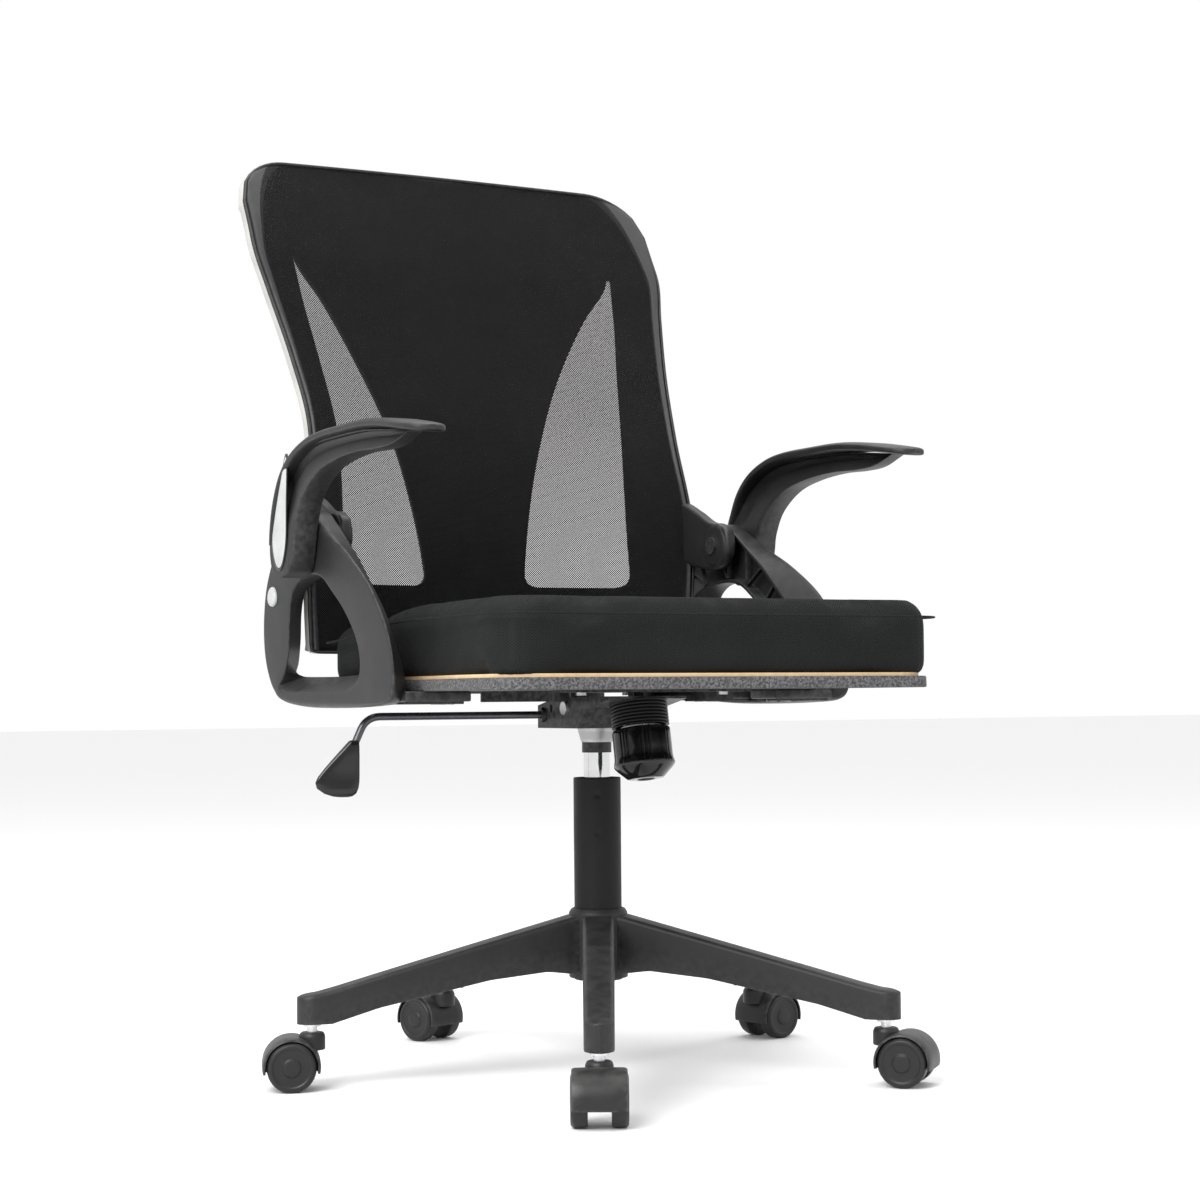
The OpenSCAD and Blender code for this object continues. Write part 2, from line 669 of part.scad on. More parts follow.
// Columns across the shell: side band, window, spine, and the same mirrored
function columns(v) = let (a = row(v, 4) / half_w(v), b = row(v, 5) / half_w(v)) [
    1, 0.94, b + (0.94 - b) / 2, b, b + (a - b) / 2, a, a * 0.66, a * 0.33];
function across(v) = let (c = columns(v))
    concat([for (x = c) -x], [0], [for (i = [len(c) - 1:-1:0]) c[i]]);
// A cell belongs to a window when it lies between the two window edges
function is_window(i, j) = i >= window_rows[0] && i < window_rows[1]
    && (j == 3 || j == 4 || j == 11 || j == 12);

// A sheet of cells with a front and a rear skin, closed around its rim and its windows
module cell_sheet(front, rear, open) {
    rows = len(front) - 1;
    cols = len(front[0]) - 1;
    w = cols + 1;
    n = (rows + 1) * w;
    solid = [for (i = [0:rows - 1]) [for (j = [0:cols - 1]) !open(i, j)]];
    function at(i, j) = i * w + j;
    function is_solid(i, j) = i >= 0 && i < rows && j >= 0 && j < cols && solid[i][j];
    faces = [for (i = [0:rows - 1], j = [0:cols - 1]) if (solid[i][j]) each concat(
        [[at(i, j), at(i + 1, j), at(i + 1, j + 1)], [at(i, j), at(i + 1, j + 1), at(i, j + 1)]],
        [[n + at(i, j), n + at(i + 1, j + 1), n + at(i + 1, j)],
            [n + at(i, j), n + at(i, j + 1), n + at(i + 1, j + 1)]],
        is_solid(i - 1, j) ? [] : [[at(i, j), at(i, j + 1), n + at(i, j + 1)],
            [at(i, j), n + at(i, j + 1), n + at(i, j)]],
        is_solid(i + 1, j) ? [] : [[at(i + 1, j), n + at(i + 1, j + 1), at(i + 1, j + 1)],
            [at(i + 1, j), n + at(i + 1, j), n + at(i + 1, j + 1)]],
        is_solid(i, j - 1) ? [] : [[at(i, j), n + at(i + 1, j), at(i + 1, j)],
            [at(i, j), n + at(i, j), n + at(i + 1, j)]],
        is_solid(i, j + 1) ? [] : [[at(i, j + 1), at(i + 1, j + 1), n + at(i + 1, j + 1)],
            [at(i, j + 1), n + at(i + 1, j + 1), n + at(i, j + 1)]])];
    polyhedron([for (s = [front, rear]) each [for (r = s) each r]], faces, convexity = 8);
}
module back_frame() {
    skin = function (t) [for (i = [0:row_count]) let (v = i / row_count)
        [for (u = across(v)) let (z = back_z(u, v), h = share(z))
            [u * half_w(h), shell_y(u, h) + t, z]]];
    color(BLACK) at_plate() cell_sheet(skin(0), skin(shell_t), function (i, j) is_window(i, j));
}
module back_mesh() {
    cols = 14;
    skin = function (t) [for (i = [0:row_count]) let (v = i / row_count)
        [for (j = [0:cols]) let (u = 2 * j / cols - 1, z = back_z(u, v), h = share(z))
            [u * half_w(h), mesh_y(u, h) - t, z]]];
    color(BLACK) at_plate() cell_sheet(skin(2.1), skin(0.5), function (i, j) false);
}
ear_out = 1;
ear_t = 14;
ear_in = min(bracket_x - ear_out - ear_t, half_w(0.25) - 9.5);
module back_ears() {
    outline = smooth([[120, hinge.y + 22], [150, 198], [180, 212], [216, 224], [224, 200], [222, 166],
        [200, 152], [170, 144], [136, hinge.y - boss_r], [112, 156], [110, 180]]);
    x1 = bracket_x - ear_out;
    color(BLACK) at_plate() both_sides() difference() {
        union() {
            side_slab(outline, ear_in, x1 - 2);
            cross_pin(boss_r, x1 - ear_t - 2, x1, hinge.x, hinge.y);
        }
        cross_pin(hinge_r + play, x1 - ear_t - 4, x1 + 2, hinge.x, hinge.y);
    }
}
module back_screws() {
    color(SILVER) at_plate() both_sides() for (z = [178, 206])
        translate([ear_in + ear_t / 2 - 1, 0, z]) rotate([-90, 0, 0])
            translate([0, 0, 196]) cylinder(r = 2.5, h = 34);
}

star_base();
caster_stems();
column_tube();
column_bushing();
piston_rod();
thrust_bearing();
gas_cylinder();
column_collar();
taper_socket();
mechanism_housing();
tilt_axle();
release_pin();
lever_bush();
lever_rod();
lever_paddle();
seat_plate();
seat_board();
plate_bolts();
underside_cover();
seat_cushion();
bracket(1);  // bracket_left
bracket(-1);  // bracket_right
bracket_bolts();
hinge_pins();
button_springs();
tension_bolt();
thrust_washer();
tension_knob();
tension_boot();
tension_spring();
back_frame();
back_mesh();
back_ears();
back_screws();
arm(1);  // arm_left
arm(-1);  // arm_right
arm_cap(1);  // arm_cap_left
arm_cap(-1);  // arm_cap_right
release_button(1);  // release_button_left
release_button(-1);  // release_button_right
for (k = CASTERS) {
    caster_hood(k);
    caster_axle(k);
    caster_wheel(k, -1);
    caster_wheel(k, 1);
}
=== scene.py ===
from math import cos, pi, radians, sin

import bmesh
import bpy
import numpy as np
from mathutils import Matrix


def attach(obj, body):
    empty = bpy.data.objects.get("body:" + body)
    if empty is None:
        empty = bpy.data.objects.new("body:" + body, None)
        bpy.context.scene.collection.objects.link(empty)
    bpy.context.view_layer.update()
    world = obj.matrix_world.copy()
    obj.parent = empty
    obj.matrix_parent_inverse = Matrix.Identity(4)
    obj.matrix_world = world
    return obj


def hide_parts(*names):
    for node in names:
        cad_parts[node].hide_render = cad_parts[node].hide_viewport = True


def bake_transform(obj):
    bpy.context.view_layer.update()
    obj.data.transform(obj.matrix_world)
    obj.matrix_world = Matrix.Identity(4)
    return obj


bl_info = {
    "name": "Swivel office chair",
    "version": (1, 0, 0),
    "blender": (4, 5, 0),
    "location": "3D View > Sidebar > Chair",
    "description": "Builds the visible pieces of a mesh-back swivel chair around its frame",
    "category": "Object",
}

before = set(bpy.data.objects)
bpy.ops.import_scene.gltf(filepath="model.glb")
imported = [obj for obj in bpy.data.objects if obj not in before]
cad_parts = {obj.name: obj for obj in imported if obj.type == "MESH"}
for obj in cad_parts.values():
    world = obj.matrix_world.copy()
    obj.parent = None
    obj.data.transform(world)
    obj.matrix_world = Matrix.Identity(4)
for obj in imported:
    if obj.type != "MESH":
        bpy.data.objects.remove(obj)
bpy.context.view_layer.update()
MM = 0.001
PLATE_Z = 399.0  # top of the seat plate, in millimetres
DUST = (0.42, 0.41, 0.39, 1.0)
SIDES = {"left": 1, "right": -1}


# ---- Surfaces ----
def spline(points, count, closed=False):
    """Catmull-Rom curve: each span is a cubic whose end slopes are half the chord between neighbours."""
    p = np.asarray(points, float)
    n = len(p)
    if closed:
        t = np.linspace(0, n, count, endpoint=False)
        i = t.astype(int)
        a, b, c, d = (p[(i + k) % n] for k in (-1, 0, 1, 2))
    else:
        t = np.linspace(0, n - 1, count)
        i = np.minimum(t.astype(int), n - 2)
        q = np.vstack([2 * p[0] - p[1], p, 2 * p[-1] - p[-2]])
        a, b, c, d = (q[i + k] for k in (0, 1, 2, 3))
    f = (t - i)[:, None]
    return 0.5 * (2 * b + (c - a) * f + (2 * a - 5 * b + 4 * c - d) * f**2
                  + (3 * b - a - 3 * c + d) * f**3)


def even(p, count, closed=False):
    """The same line with its points an equal distance apart, by interpolation on the arc length."""
    q = np.vstack([p, p[:1]]) if closed else np.asarray(p, float)
    s = np.concatenate([[0], np.cumsum(np.linalg.norm(np.diff(q, axis=0), axis=1))])
    t = np.linspace(0, s[-1], count, endpoint=not closed)
    return np.stack([np.interp(t, s, q[:, k]) for k in range(q.shape[1])], 1)


def rounded(points, radius, steps=4):
    """An open line with each inner corner replaced by a quadratic curve that starts radius before it."""
    p = np.asarray(points, float)
    out = [p[:1]]
    t = np.linspace(0, 1, steps + 1)[:, None]
    for a, b, c in zip(p[:-2], p[1:-1], p[2:]):
        la, lc = np.linalg.norm(a - b), np.linalg.norm(c - b)
        r = min(radius, 0.45 * la, 0.45 * lc)
        u, v = b + (a - b) / la * r, b + (c - b) / lc * r
        out.append((1 - t) ** 2 * u + 2 * t * (1 - t) * b + t * t * v)
    return np.vstack(out + [p[-1:]])


def patch(pts, wrap=(False, True), caps=False):
    """A grid of points as quads; wrap joins its last row or column to its first, caps close its end rows."""
    pts = np.asarray(pts, float)
    n, m = pts.shape[:2]
    idx = np.arange(n * m).reshape(n, m)
    if wrap[0]:
        idx = np.vstack([idx, idx[:1]])
    if wrap[1]:
        idx = np.hstack([idx, idx[:, :1]])
    quads = np.stack([idx[:-1, :-1], idx[1:, :-1], idx[1:, 1:], idx[:-1, 1:]], -1).reshape(-1, 4)
    ends = [list(range(m))[::-1], list(range((n - 1) * m, n * m))] if caps else []
    return pts.reshape(-1, 3), quads.tolist() + ends


def lathe(profile, steps=96, swell=None):
    """A profile (r, z) turned round Z: (r cos a, r sin a, z), with swell(r, z, a) added to r."""
    r, z = np.asarray(profile, float).T[:, :, None]
    a = np.linspace(0, 2 * pi, steps, endpoint=False)[None]
    if swell:
        r = r + swell(r, z, a)
    return patch(np.stack([r * np.cos(a), r * np.sin(a), z + 0 * a], -1))


def offset(outline, inset):
    """A closed outline moved inwards along its own normals by inset."""
    t = np.roll(outline, -1, 0) - np.roll(outline, 1, 0)
    t /= np.linalg.norm(t, axis=1)[:, None] + 1e-12
    turn = np.sum(outline[:, 0] * np.roll(outline[:, 1], -1) - np.roll(outline[:, 0], -1) * outline[:, 1])
    return outline + np.sign(turn) * inset * np.stack([-t[:, 1], t[:, 0]], 1)


def slab(outline, x0, x1, r0=1.0, r1=1.0, steps=4):
    """An outline (y, z) between planes x0 and x1; its edges are quarter circles of radius r0 and r1."""
    a = np.linspace(0, pi / 2, steps + 1)
    rows = [(r0 * (1 - sin(t)), x0 + r0 * (1 - cos(t))) for t in a]
    rows += [(r1 * (1 - cos(t)), x1 - r1 * (1 - sin(t))) for t in a]
    pts = [np.column_stack([np.full(len(outline), x), offset(outline, i)]) for i, x in rows]
    return patch(np.array(pts), caps=True)


def dome(outline, centre, x0, rise, rings=8):
    """A low dome on an outline (y, z): rings shrink to the centre as x rises by rise * sqrt(1 - k^3)."""
    k = np.cos(np.linspace(0, pi / 2, rings + 1))
    x = x0 + rise * np.sqrt(1 - k**3)
    pts = centre + k[:, None, None] * (outline - centre)[None]
    return patch(np.concatenate([np.broadcast_to(x[:, None, None], pts.shape[:2] + (1,)), pts], -1))


def tube(path, radius, around=12, closed=False):
    """A circle of the given radius carried along a path of points in space."""
    p = np.asarray(path, float)
    t = (np.roll(p, -1, 0) - np.roll(p, 1, 0)) if closed else np.gradient(p, axis=0)
    t /= np.linalg.norm(t, axis=1)[:, None]
    up = np.array([0, 0, 1.0]) if abs(t[:, 2]).max() < 0.95 else np.array([1.0, 0, 0])
    n = np.cross(t, up)
    n /= np.linalg.norm(n, axis=1)[:, None]
    b = np.cross(t, n)
    a = np.linspace(0, 2 * pi, around, endpoint=False)
    ring = np.cos(a)[None, :, None] * n[:, None] + np.sin(a)[None, :, None] * b[:, None]
    return patch(p[:, None] + np.reshape(radius, (-1, 1, 1)) * ring, (closed, True), not closed)


def box(lo, hi, r=0.8):
    """A block with small rounded edges, as a slab on its own rectangle."""
    (x0, y0, z0), (x1, y1, z1) = lo, hi
    c = np.array([[y0, z0], [y1, z0], [y1, z1], [y0, z1], [y0, z0], [y1, z0]], float)
    return slab(rounded(c, r * 1.5, 3)[1:-1], x0, x1, r, r, 2)


def moved(patches, m):
    """Every point of the patches turned and shifted by a 4 x 4 matrix."""
    return [(p @ np.array(m)[:3, :3].T + np.array(m)[:3, 3], f) for p, f in patches]


def raised(patches):
    """Patches drawn above the seat plate, lifted to it."""
    return moved(patches, Matrix.Translation((0, 0, PLATE_Z)))


def mirrored(patches, side):
    """Patches on the left side, or x turned to -x for the right side."""
    return [(p * [side, 1, 1], f) for p, f in patches]


def build(name, patches, body, slot, replaces=(), closed=True, angle=38, paint=None):
    """Joins patches into one mesh in metres, closes its seams and poles, and turns its faces outwards."""
    verts, faces, n = [], [], 0
    for p, f in patches:
        verts.append(p)
        faces += [[i + n for i in q] for q in f]
        n += len(p)
    mesh = bpy.data.meshes.new(name)
    mesh.from_pydata((np.vstack(verts) * MM).tolist(), [], faces)
    bm = bmesh.new()
    bm.from_mesh(mesh)
    bmesh.ops.remove_doubles(bm, verts=bm.verts, dist=2e-6)
    bmesh.ops.dissolve_degenerate(bm, edges=bm.edges, dist=1e-7)
    if closed:
        bmesh.ops.recalc_face_normals(bm, faces=bm.faces)
    bm.to_mesh(mesh)
    bm.free()
    obj = bpy.data.objects.new(name, mesh)
    bpy.context.scene.collection.objects.link(obj)
    dress(obj, paint or finish(slot), angle)
    if body:
        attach(obj, body)
    if replaces:
        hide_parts(*replaces)
    return obj


def dress(obj, paint, angle=38):
    """Smooth shading with sharp edges past the angle, and one material."""
    mesh = obj.data
    mesh.polygons.foreach_set("use_smooth", [True] * len(mesh.polygons))
    mesh.set_sharp_from_angle(angle=radians(angle))
    mesh.materials.clear()
    mesh.materials.append(paint)


def modifier(obj, name, kind, **values):
    """A new modifier with its settings."""
    m = obj.modifiers.new(name, kind)
    for key, value in values.items():
        setattr(m, key, value)
    return m


# ---- Finishes ----
def add(tree, kind, links=(), **values):
    """A node with its properties set; links are (socket, value or output socket)."""
    node = tree.nodes.new(kind)
    for key, value in values.items():
        setattr(node, key, value)
    for socket, value in links:
        if isinstance(value, bpy.types.NodeSocket):
            tree.links.new(value, node.inputs[socket])
        else:
            node.inputs[socket].default_value = value
    return node


def math(tree, operation, a, b=0.0, c=0.0):
    """The output of one Math node."""
    links = [(0, a), (1, b)] + ([(2, c)] if operation in ("MULTIPLY_ADD", "SMOOTH_MIN") else [])
    return add(tree, "ShaderNodeMath", links, operation=operation).outputs[0]


def ramp(tree, value, lo, hi, to_lo=0.0, to_hi=1.0):
    """A value between lo and hi, mapped in a straight line to to_lo and to_hi and held there beyond them."""
    n = add(tree, "ShaderNodeMapRange",
            [("Value", value), ("From Min", lo), ("From Max", hi), ("To Min", to_lo), ("To Max", to_hi)])
    return n.outputs[0]


def group(name, inputs, outputs):
    """A new shader node group with named float, colour or vector sockets."""
    tree = bpy.data.node_groups.new(name, "ShaderNodeTree")
    kinds = {"f": "NodeSocketFloat", "c": "NodeSocketColor", "v": "NodeSocketVector"}
    for label, kind, value in inputs:
        s = tree.interface.new_socket(label, in_out="INPUT", socket_type=kinds[kind])
        if value is not None:
            s.default_value = value
    for label, kind in outputs:
        tree.interface.new_socket(label, in_out="OUTPUT", socket_type=kinds[kind])
    return tree, tree.nodes.new("NodeGroupInput").outputs, tree.nodes.new("NodeGroupOutput").inputs


def grain_group():
    """Moulded grain: fine noise for the height, and slow noise for patches of gloss and colour."""
    tree, ins, outs = group("moulded grain", [("Vector", "v", None), ("Scale", "f", 900.0), ("Patch", "f",
        30.0)],
                            [("Height", "f"), ("Gloss", "f"), ("Tint", "f")])
    fine = add(tree, "ShaderNodeTexNoise", [("Vector", ins["Vector"]), ("Scale", ins["Scale"]), ("Detail",
        3.0)])
    slow = add(tree, "ShaderNodeTexNoise", [("Vector", ins["Vector"]), ("Scale", ins["Patch"]), ("Detail",
        4.0)])
    tree.links.new(fine.outputs[0], outs["Height"])
    tree.links.new(math(tree, "MULTIPLY_ADD", slow.outputs[0], 0.6, math(tree, "MULTIPLY", fine.outputs[0],
        0.4)),
                   outs["Gloss"])
    tree.links.new(slow.outputs[0], outs["Tint"])
    return tree


def rub_group():
    """Edge rub: the pointed places of the surface, broken up by noise."""
    tree, ins, outs = group("edge rub", [("Vector", "v", None), ("Reach", "f", 0.04)], [("Mask", "f")])
    point = tree.nodes.new("ShaderNodeNewGeometry").outputs["Pointiness"]
    noise = add(tree, "ShaderNodeTexNoise", [("Vector", ins["Vector"]), ("Scale", 160.0), ("Detail", 4.0)])
    edge = ramp(tree, point, 0.515, math(tree, "ADD", ins["Reach"], 0.515))
    tree.links.new(math(tree, "MULTIPLY", edge, ramp(tree, noise.outputs[0], 0.35, 0.62)), outs["Mask"])
    return tree


def dust_group():
    """Dust: what faces up, broken up by slow noise."""
    tree, ins, outs = group("dust", [("Vector", "v", None)], [("Mask", "f")])
    up = add(tree, "ShaderNodeSeparateXYZ", [(0, tree.nodes.new("ShaderNodeNewGeometry").outputs["Normal"])])
    noise = add(tree, "ShaderNodeTexNoise", [("Vector", ins["Vector"]), ("Scale", 70.0), ("Detail", 5.0)])
    tree.links.new(math(tree, "MULTIPLY", ramp(tree, up.outputs["Z"], 0.3, 1.0),
                        ramp(tree, noise.outputs[0], 0.3, 0.75)), outs["Mask"])
    return tree


def net_group():
    """Open net: sin(u) * sin(v) gives staggered round holes; Cover is the thread, Height its roundness."""
    tree, ins, outs = group("open net", [("Vector", "v", None), ("Pitch", "f", 0.0026), ("Hole", "f", 0.1)],
                            [("Cover", "f"), ("Height", "f")])
    xyz = add(tree, "ShaderNodeSeparateXYZ", [(0, ins["Vector"])])
    turns = math(tree, "DIVIDE", 2 * pi, ins["Pitch"])
    u, v = (math(tree, "SINE", math(tree, "MULTIPLY", xyz.outputs[k], turns)) for k in ("X", "Y"))
    product = math(tree, "MULTIPLY", u, v)
    tree.links.new(ramp(tree, math(tree, "SUBTRACT", product, ins["Hole"]), 0.0, 0.22, 1.0, 0.0),
        outs["Cover"])
    tree.links.new(math(tree, "MULTIPLY", product, -1.0), outs["Height"])
    return tree


def knit_group():
    """Spacer knit on a thick pad: the dotted pattern sin(a) * sin(b) of the two axes that lie in the surface."""
    tree, ins, outs = group("spacer knit", [("Vector", "v", None), ("Pitch", "f", 0.0024)],
                            [("Height", "f"), ("Hole", "f")])
    xyz = add(tree, "ShaderNodeSeparateXYZ", [(0, ins["Vector"])]).outputs
    turns = math(tree, "DIVIDE", 2 * pi, ins["Pitch"])
    s = {k: math(tree, "SINE", math(tree, "MULTIPLY", xyz[k], turns)) for k in "XYZ"}
    n = add(tree, "ShaderNodeSeparateXYZ", [(0,
        tree.nodes.new("ShaderNodeNewGeometry").outputs["Normal"])]).outputs
    total = None
    for k, (a, b) in {"X": "YZ", "Y": "XZ", "Z": "XY"}.items():
        share = math(tree, "POWER", math(tree, "ABSOLUTE", n[k]), 3.0)
        part = math(tree, "MULTIPLY", math(tree, "MULTIPLY", s[a], s[b]), share)
        total = part if total is None else math(tree, "ADD", total, part)
    tree.links.new(total, outs["Height"])
    tree.links.new(ramp(tree, total, 0.1, 0.6), outs["Hole"])
    return tree


GROUPS = {}
FINISHES = {}


def use(tree, name, links=()):
    """The outputs of one of the groups above, which is built the first time it is asked for."""
    if name not in GROUPS:
        GROUPS[name] = {"grain": grain_group, "rub": rub_group, "dust": dust_group,
                        "net": net_group, "knit": knit_group}[name]()
    return add(tree, "ShaderNodeGroup", links, node_tree=GROUPS[name]).outputs


def mix(tree, share, a, b):
    """Colour a, with a share of colour b over it."""
    n = add(tree, "ShaderNodeMix", [("Factor", share)], data_type="RGBA")
    for socket, value in ((6, a), (7, b)):
        if isinstance(value, bpy.types.NodeSocket):
            tree.links.new(value, n.inputs[socket])
        else:
            n.inputs[socket].default_value = value
    return n.outputs[2]


def rgb(c, scale=1.0, lift=0.0):
    """A colour for a socket, brighter or darker by a factor and lifted by an amount."""
    return (*(x * scale + lift for x in c), 1.0)


def blank(name):
    """A new material with its node tree, its shader and its texture coordinates."""
    mat = bpy.data.materials.new(name)
    mat.use_nodes = True
    tree = mat.node_tree
    return mat, tree, tree.nodes["Principled BSDF"], tree.nodes.new("ShaderNodeTexCoord").outputs


def bumped(tree, shader, height, strength, distance):
    """The height as a bump on the shader's normal."""
    b = add(tree, "ShaderNodeBump", [("Height", height), ("Strength", strength), ("Distance", distance)])
    tree.links.new(b.outputs[0], shader.inputs["Normal"])


def moulded(name, colour, rough, grain=900.0, bump=0.1, metal=0.0, coat=0.0, rub=0.25, dust=0.06,
    patch_scale=30.0,
            spread=0.16, light=None, shine=0.3):
    """A hard finish: grain in the height, patches of gloss, lighter rubbed edges and a little dust."""
    if name in FINISHES:
        return FINISHES[name]
    mat, tree, shader, coords = blank(name)
    where = [("Vector", coords["Object"])]
    g = use(tree, "grain", where + [("Scale", grain), ("Patch", patch_scale)])
    lighter = light or tuple(min(1.0, x * 2.2 + 0.05) for x in colour)
    tone = mix(tree, ramp(tree, g["Tint"], 0.3, 0.7), rgb(colour, 0.86), rgb(colour, 1.14))
    worn = mix(tree, math(tree, "MULTIPLY", use(tree, "rub", where)["Mask"], rub), tone, rgb(lighter))
    dusty = mix(tree, math(tree, "MULTIPLY", use(tree, "dust", where)["Mask"], dust), worn, DUST)
    tree.links.new(dusty, shader.inputs["Base Color"])
    tree.links.new(ramp(tree, g["Gloss"], 0.3, 0.7, max(rough - spread / 2, 0.02), rough + spread / 2),
                   shader.inputs["Roughness"])
    shader.inputs["Metallic"].default_value = metal
    shader.inputs["Coat Weight"].default_value = coat
    shader.inputs["Coat Roughness"].default_value = 0.08
    shader.inputs["Specular IOR Level"].default_value = shine
    bumped(tree, shader, g["Height"], bump, 0.0004)
    FINISHES[name] = mat
    return mat


def fabric(name, colour, kind, pitch, bump, sheen, light, rough=0.85, see_through=False, hole=0.1):
    """A cloth finish: net or knit for height and colour, and holes where it is see-through."""
    mat, tree, shader, coords = blank(name)
    if kind == "net":
        w = use(tree, "net", [("Vector", coords["UV"]), ("Pitch", pitch), ("Hole", hole)])
        thread = ramp(tree, w["Height"], -0.2, 0.9)
    else:
        w = use(tree, "knit", [("Vector", coords["Object"]), ("Pitch", pitch)])
        thread = math(tree, "SUBTRACT", 1.0, w["Hole"])
    slow = add(tree, "ShaderNodeTexNoise", [("Vector", coords["Object"]), ("Scale", 22.0), ("Detail", 4.0)])
    base = mix(tree, ramp(tree, slow.outputs[0], 0.3, 0.7), rgb(colour, 0.8), rgb(colour, 1.25))
    lit = mix(tree, math(tree, "MULTIPLY", thread, 0.55), base, rgb(colour, lift=light))
    tree.links.new(lit, shader.inputs["Base Color"])
    tree.links.new(ramp(tree, thread, 0.0, 1.0, rough, rough - 0.18), shader.inputs["Roughness"])
    shader.inputs["Sheen Weight"].default_value = sheen
    shader.inputs["Sheen Roughness"].default_value = 0.5
    shader.inputs["Specular IOR Level"].default_value = 0.05
    bumped(tree, shader, w["Height"], bump, pitch * 0.3)
    if see_through:
        tree.links.new(w["Cover"], shader.inputs["Alpha"])
    FINISHES[name] = mat
    return mat


def felt(name, colour):
    """Non-woven felt: light and dark specks from two noises, and a soft fibrous height."""
    mat, tree, shader, coords = blank(name)
    speck, fibre = (add(tree, "ShaderNodeTexNoise", [("Vector", coords["Object"]), ("Scale", scale),
                                                     ("Detail", detail)]).outputs[0]
                    for scale, detail in ((420.0, 5.0), (90.0, 6.0)))
    tone = mix(tree, ramp(tree, speck, 0.42, 0.6), rgb(colour, 0.35), rgb(colour, 1.9))
    fuzzy = mix(tree, ramp(tree, fibre, 0.35, 0.7, 0.0, 0.5), tone, rgb(colour))
    tree.links.new(fuzzy, shader.inputs["Base Color"])
    tree.links.new(ramp(tree, speck, 0.3, 0.7, 0.8, 1.0), shader.inputs["Roughness"])
    bumped(tree, shader, speck, 0.6, 0.0008)
    FINISHES[name] = mat
    return mat


def finish(slot):
    """The finish for one of the record's slots, made the first time it is asked for."""
    c = bpy.context.scene.chair_colours
    if slot in FINISHES:
        return FINISHES[slot]
    if slot == "seat_fabric":
        return fabric(slot, c.seat_cloth, "knit", 0.0028, light=0.012, bump=0.6, sheen=0.01)
    if slot == "back_fabric":
        return fabric(slot, c.back_net, "net", 0.0026, see_through=True, light=0.012, bump=0.6, sheen=0.0,
                      hole=-0.08)
    if slot == "felt":
        return felt(slot, c.felt)
    kinds = {
        "base_plastic": dict(colour=c.plastic, rough=0.47, grain=1300.0, bump=0.32, rub=0.35, spread=0.14,
            shine=0.32),
        "caster_plastic": dict(colour=c.plastic, rough=0.42, grain=1500.0, bump=0.2, rub=0.4, dust=0.1),
        "gloss_plastic": dict(colour=c.gloss, rough=0.13, grain=300.0, bump=0.03, coat=0.12, rub=0.1,
            dust=0.02,
                              shine=0.3),
        "silver_plastic": dict(colour=c.silver, rough=0.36, grain=1800.0, bump=0.08, rub=0.12, dust=0.03,
                               light=(0.7, 0.7, 0.7), shine=0.5),
        "column_paint": dict(colour=c.paint, rough=0.5, grain=1900.0, bump=0.3, rub=0.3, shine=0.15),
        "mechanism_paint": dict(colour=c.paint, rough=0.4, grain=700.0, bump=0.12, rub=0.5, coat=0.05,
            shine=0.2),
        # the rim's light grey is a painted highlight along the back's edge
        "rim_painted_highlight": dict(colour=c.rim, rough=0.42, bump=0.06, rub=0.1, dust=0.03),
        "chrome": dict(colour=(0.82, 0.82, 0.83), rough=0.09, grain=200.0, bump=0.01, metal=1.0, rub=0.0,
            dust=0.02,
                       spread=0.04),
        "zinc_steel": dict(colour=(0.52, 0.52, 0.53), rough=0.3, grain=500.0, bump=0.06, metal=1.0, rub=0.2),
        "dark_steel": dict(colour=(0.07, 0.07, 0.075), rough=0.32, grain=500.0, bump=0.06, metal=0.9,
            rub=0.4),
        "plywood": dict(colour=(0.5, 0.35, 0.2), rough=0.65, grain=260.0, bump=0.3, rub=0.1,
            patch_scale=12.0),
        "boot_rubber": dict(colour=c.gloss, rough=0.42, grain=800.0, bump=0.08, rub=0.15, dust=0.03,
            shine=0.15),
        "taper_grey": dict(colour=(0.28, 0.28, 0.28), rough=0.38, grain=900.0, bump=0.1, metal=0.6, rub=0.3),
    }
    return moulded(slot, **kinds[slot])


# ---- Sizes and colours a user would change ----
def length(label, text, default):
    """A size in metres."""
    return bpy.props.FloatProperty(name=label, description=text, default=default, min=0.0, unit="LENGTH",
                                   subtype="DISTANCE")


def colour(label, text, default):
    """A colour without alpha."""
    return bpy.props.FloatVectorProperty(name=label, description=text, default=default, min=0.0, max=1.0,
        size=3,
                                         subtype="COLOR")


class ChairColours(bpy.types.PropertyGroup):
    plastic: colour("Plastic", "Colour of the base, brackets and arms", (0.011, 0.011, 0.0112))
    gloss: colour("Gloss plastic", "Colour of the knob and paddle", (0.004, 0.004, 0.0045))
    silver: colour("Silver", "Colour of the arm caps and buttons", (0.36, 0.37, 0.365))
    # Back rim: this grey is a painted highlight along the back's edge
    rim: colour("Back rim", "Colour of the rim of the back", (0.36, 0.355, 0.34))
    paint: colour("Steel paint", "Colour of the column and mechanism", (0.008, 0.008, 0.0085))
    seat_cloth: colour("Seat cloth", "Colour of the cushion's knit", (0.0065, 0.007, 0.007))
    back_net: colour("Back net", "Colour of the net on the back", (0.006, 0.006, 0.0063))
    felt: colour("Felt", "Colour of the felt under the seat", (0.06, 0.06, 0.062))


class BaseSizes(bpy.types.PropertyGroup):
    stem_r: length("Stem circle", "Distance from the swivel axis to a caster stem", 0.306)
    turn: bpy.props.FloatProperty(name="Turn", description="Direction of the first arm",
        default=radians(-118.5),
                                  subtype="ANGLE", unit="ROTATION")
    half_hub: length("Half width at the hub", "Half the width of an arm at the hub", 0.017)
    half_end: length("Half width at the end", "Half the width of an arm at its caster", 0.0145)
    wheel_r: length("Wheel radius", "Radius of a caster wheel", 0.025)
    trail: length("Trail", "How far a wheel's axle trails its stem", 0.021)


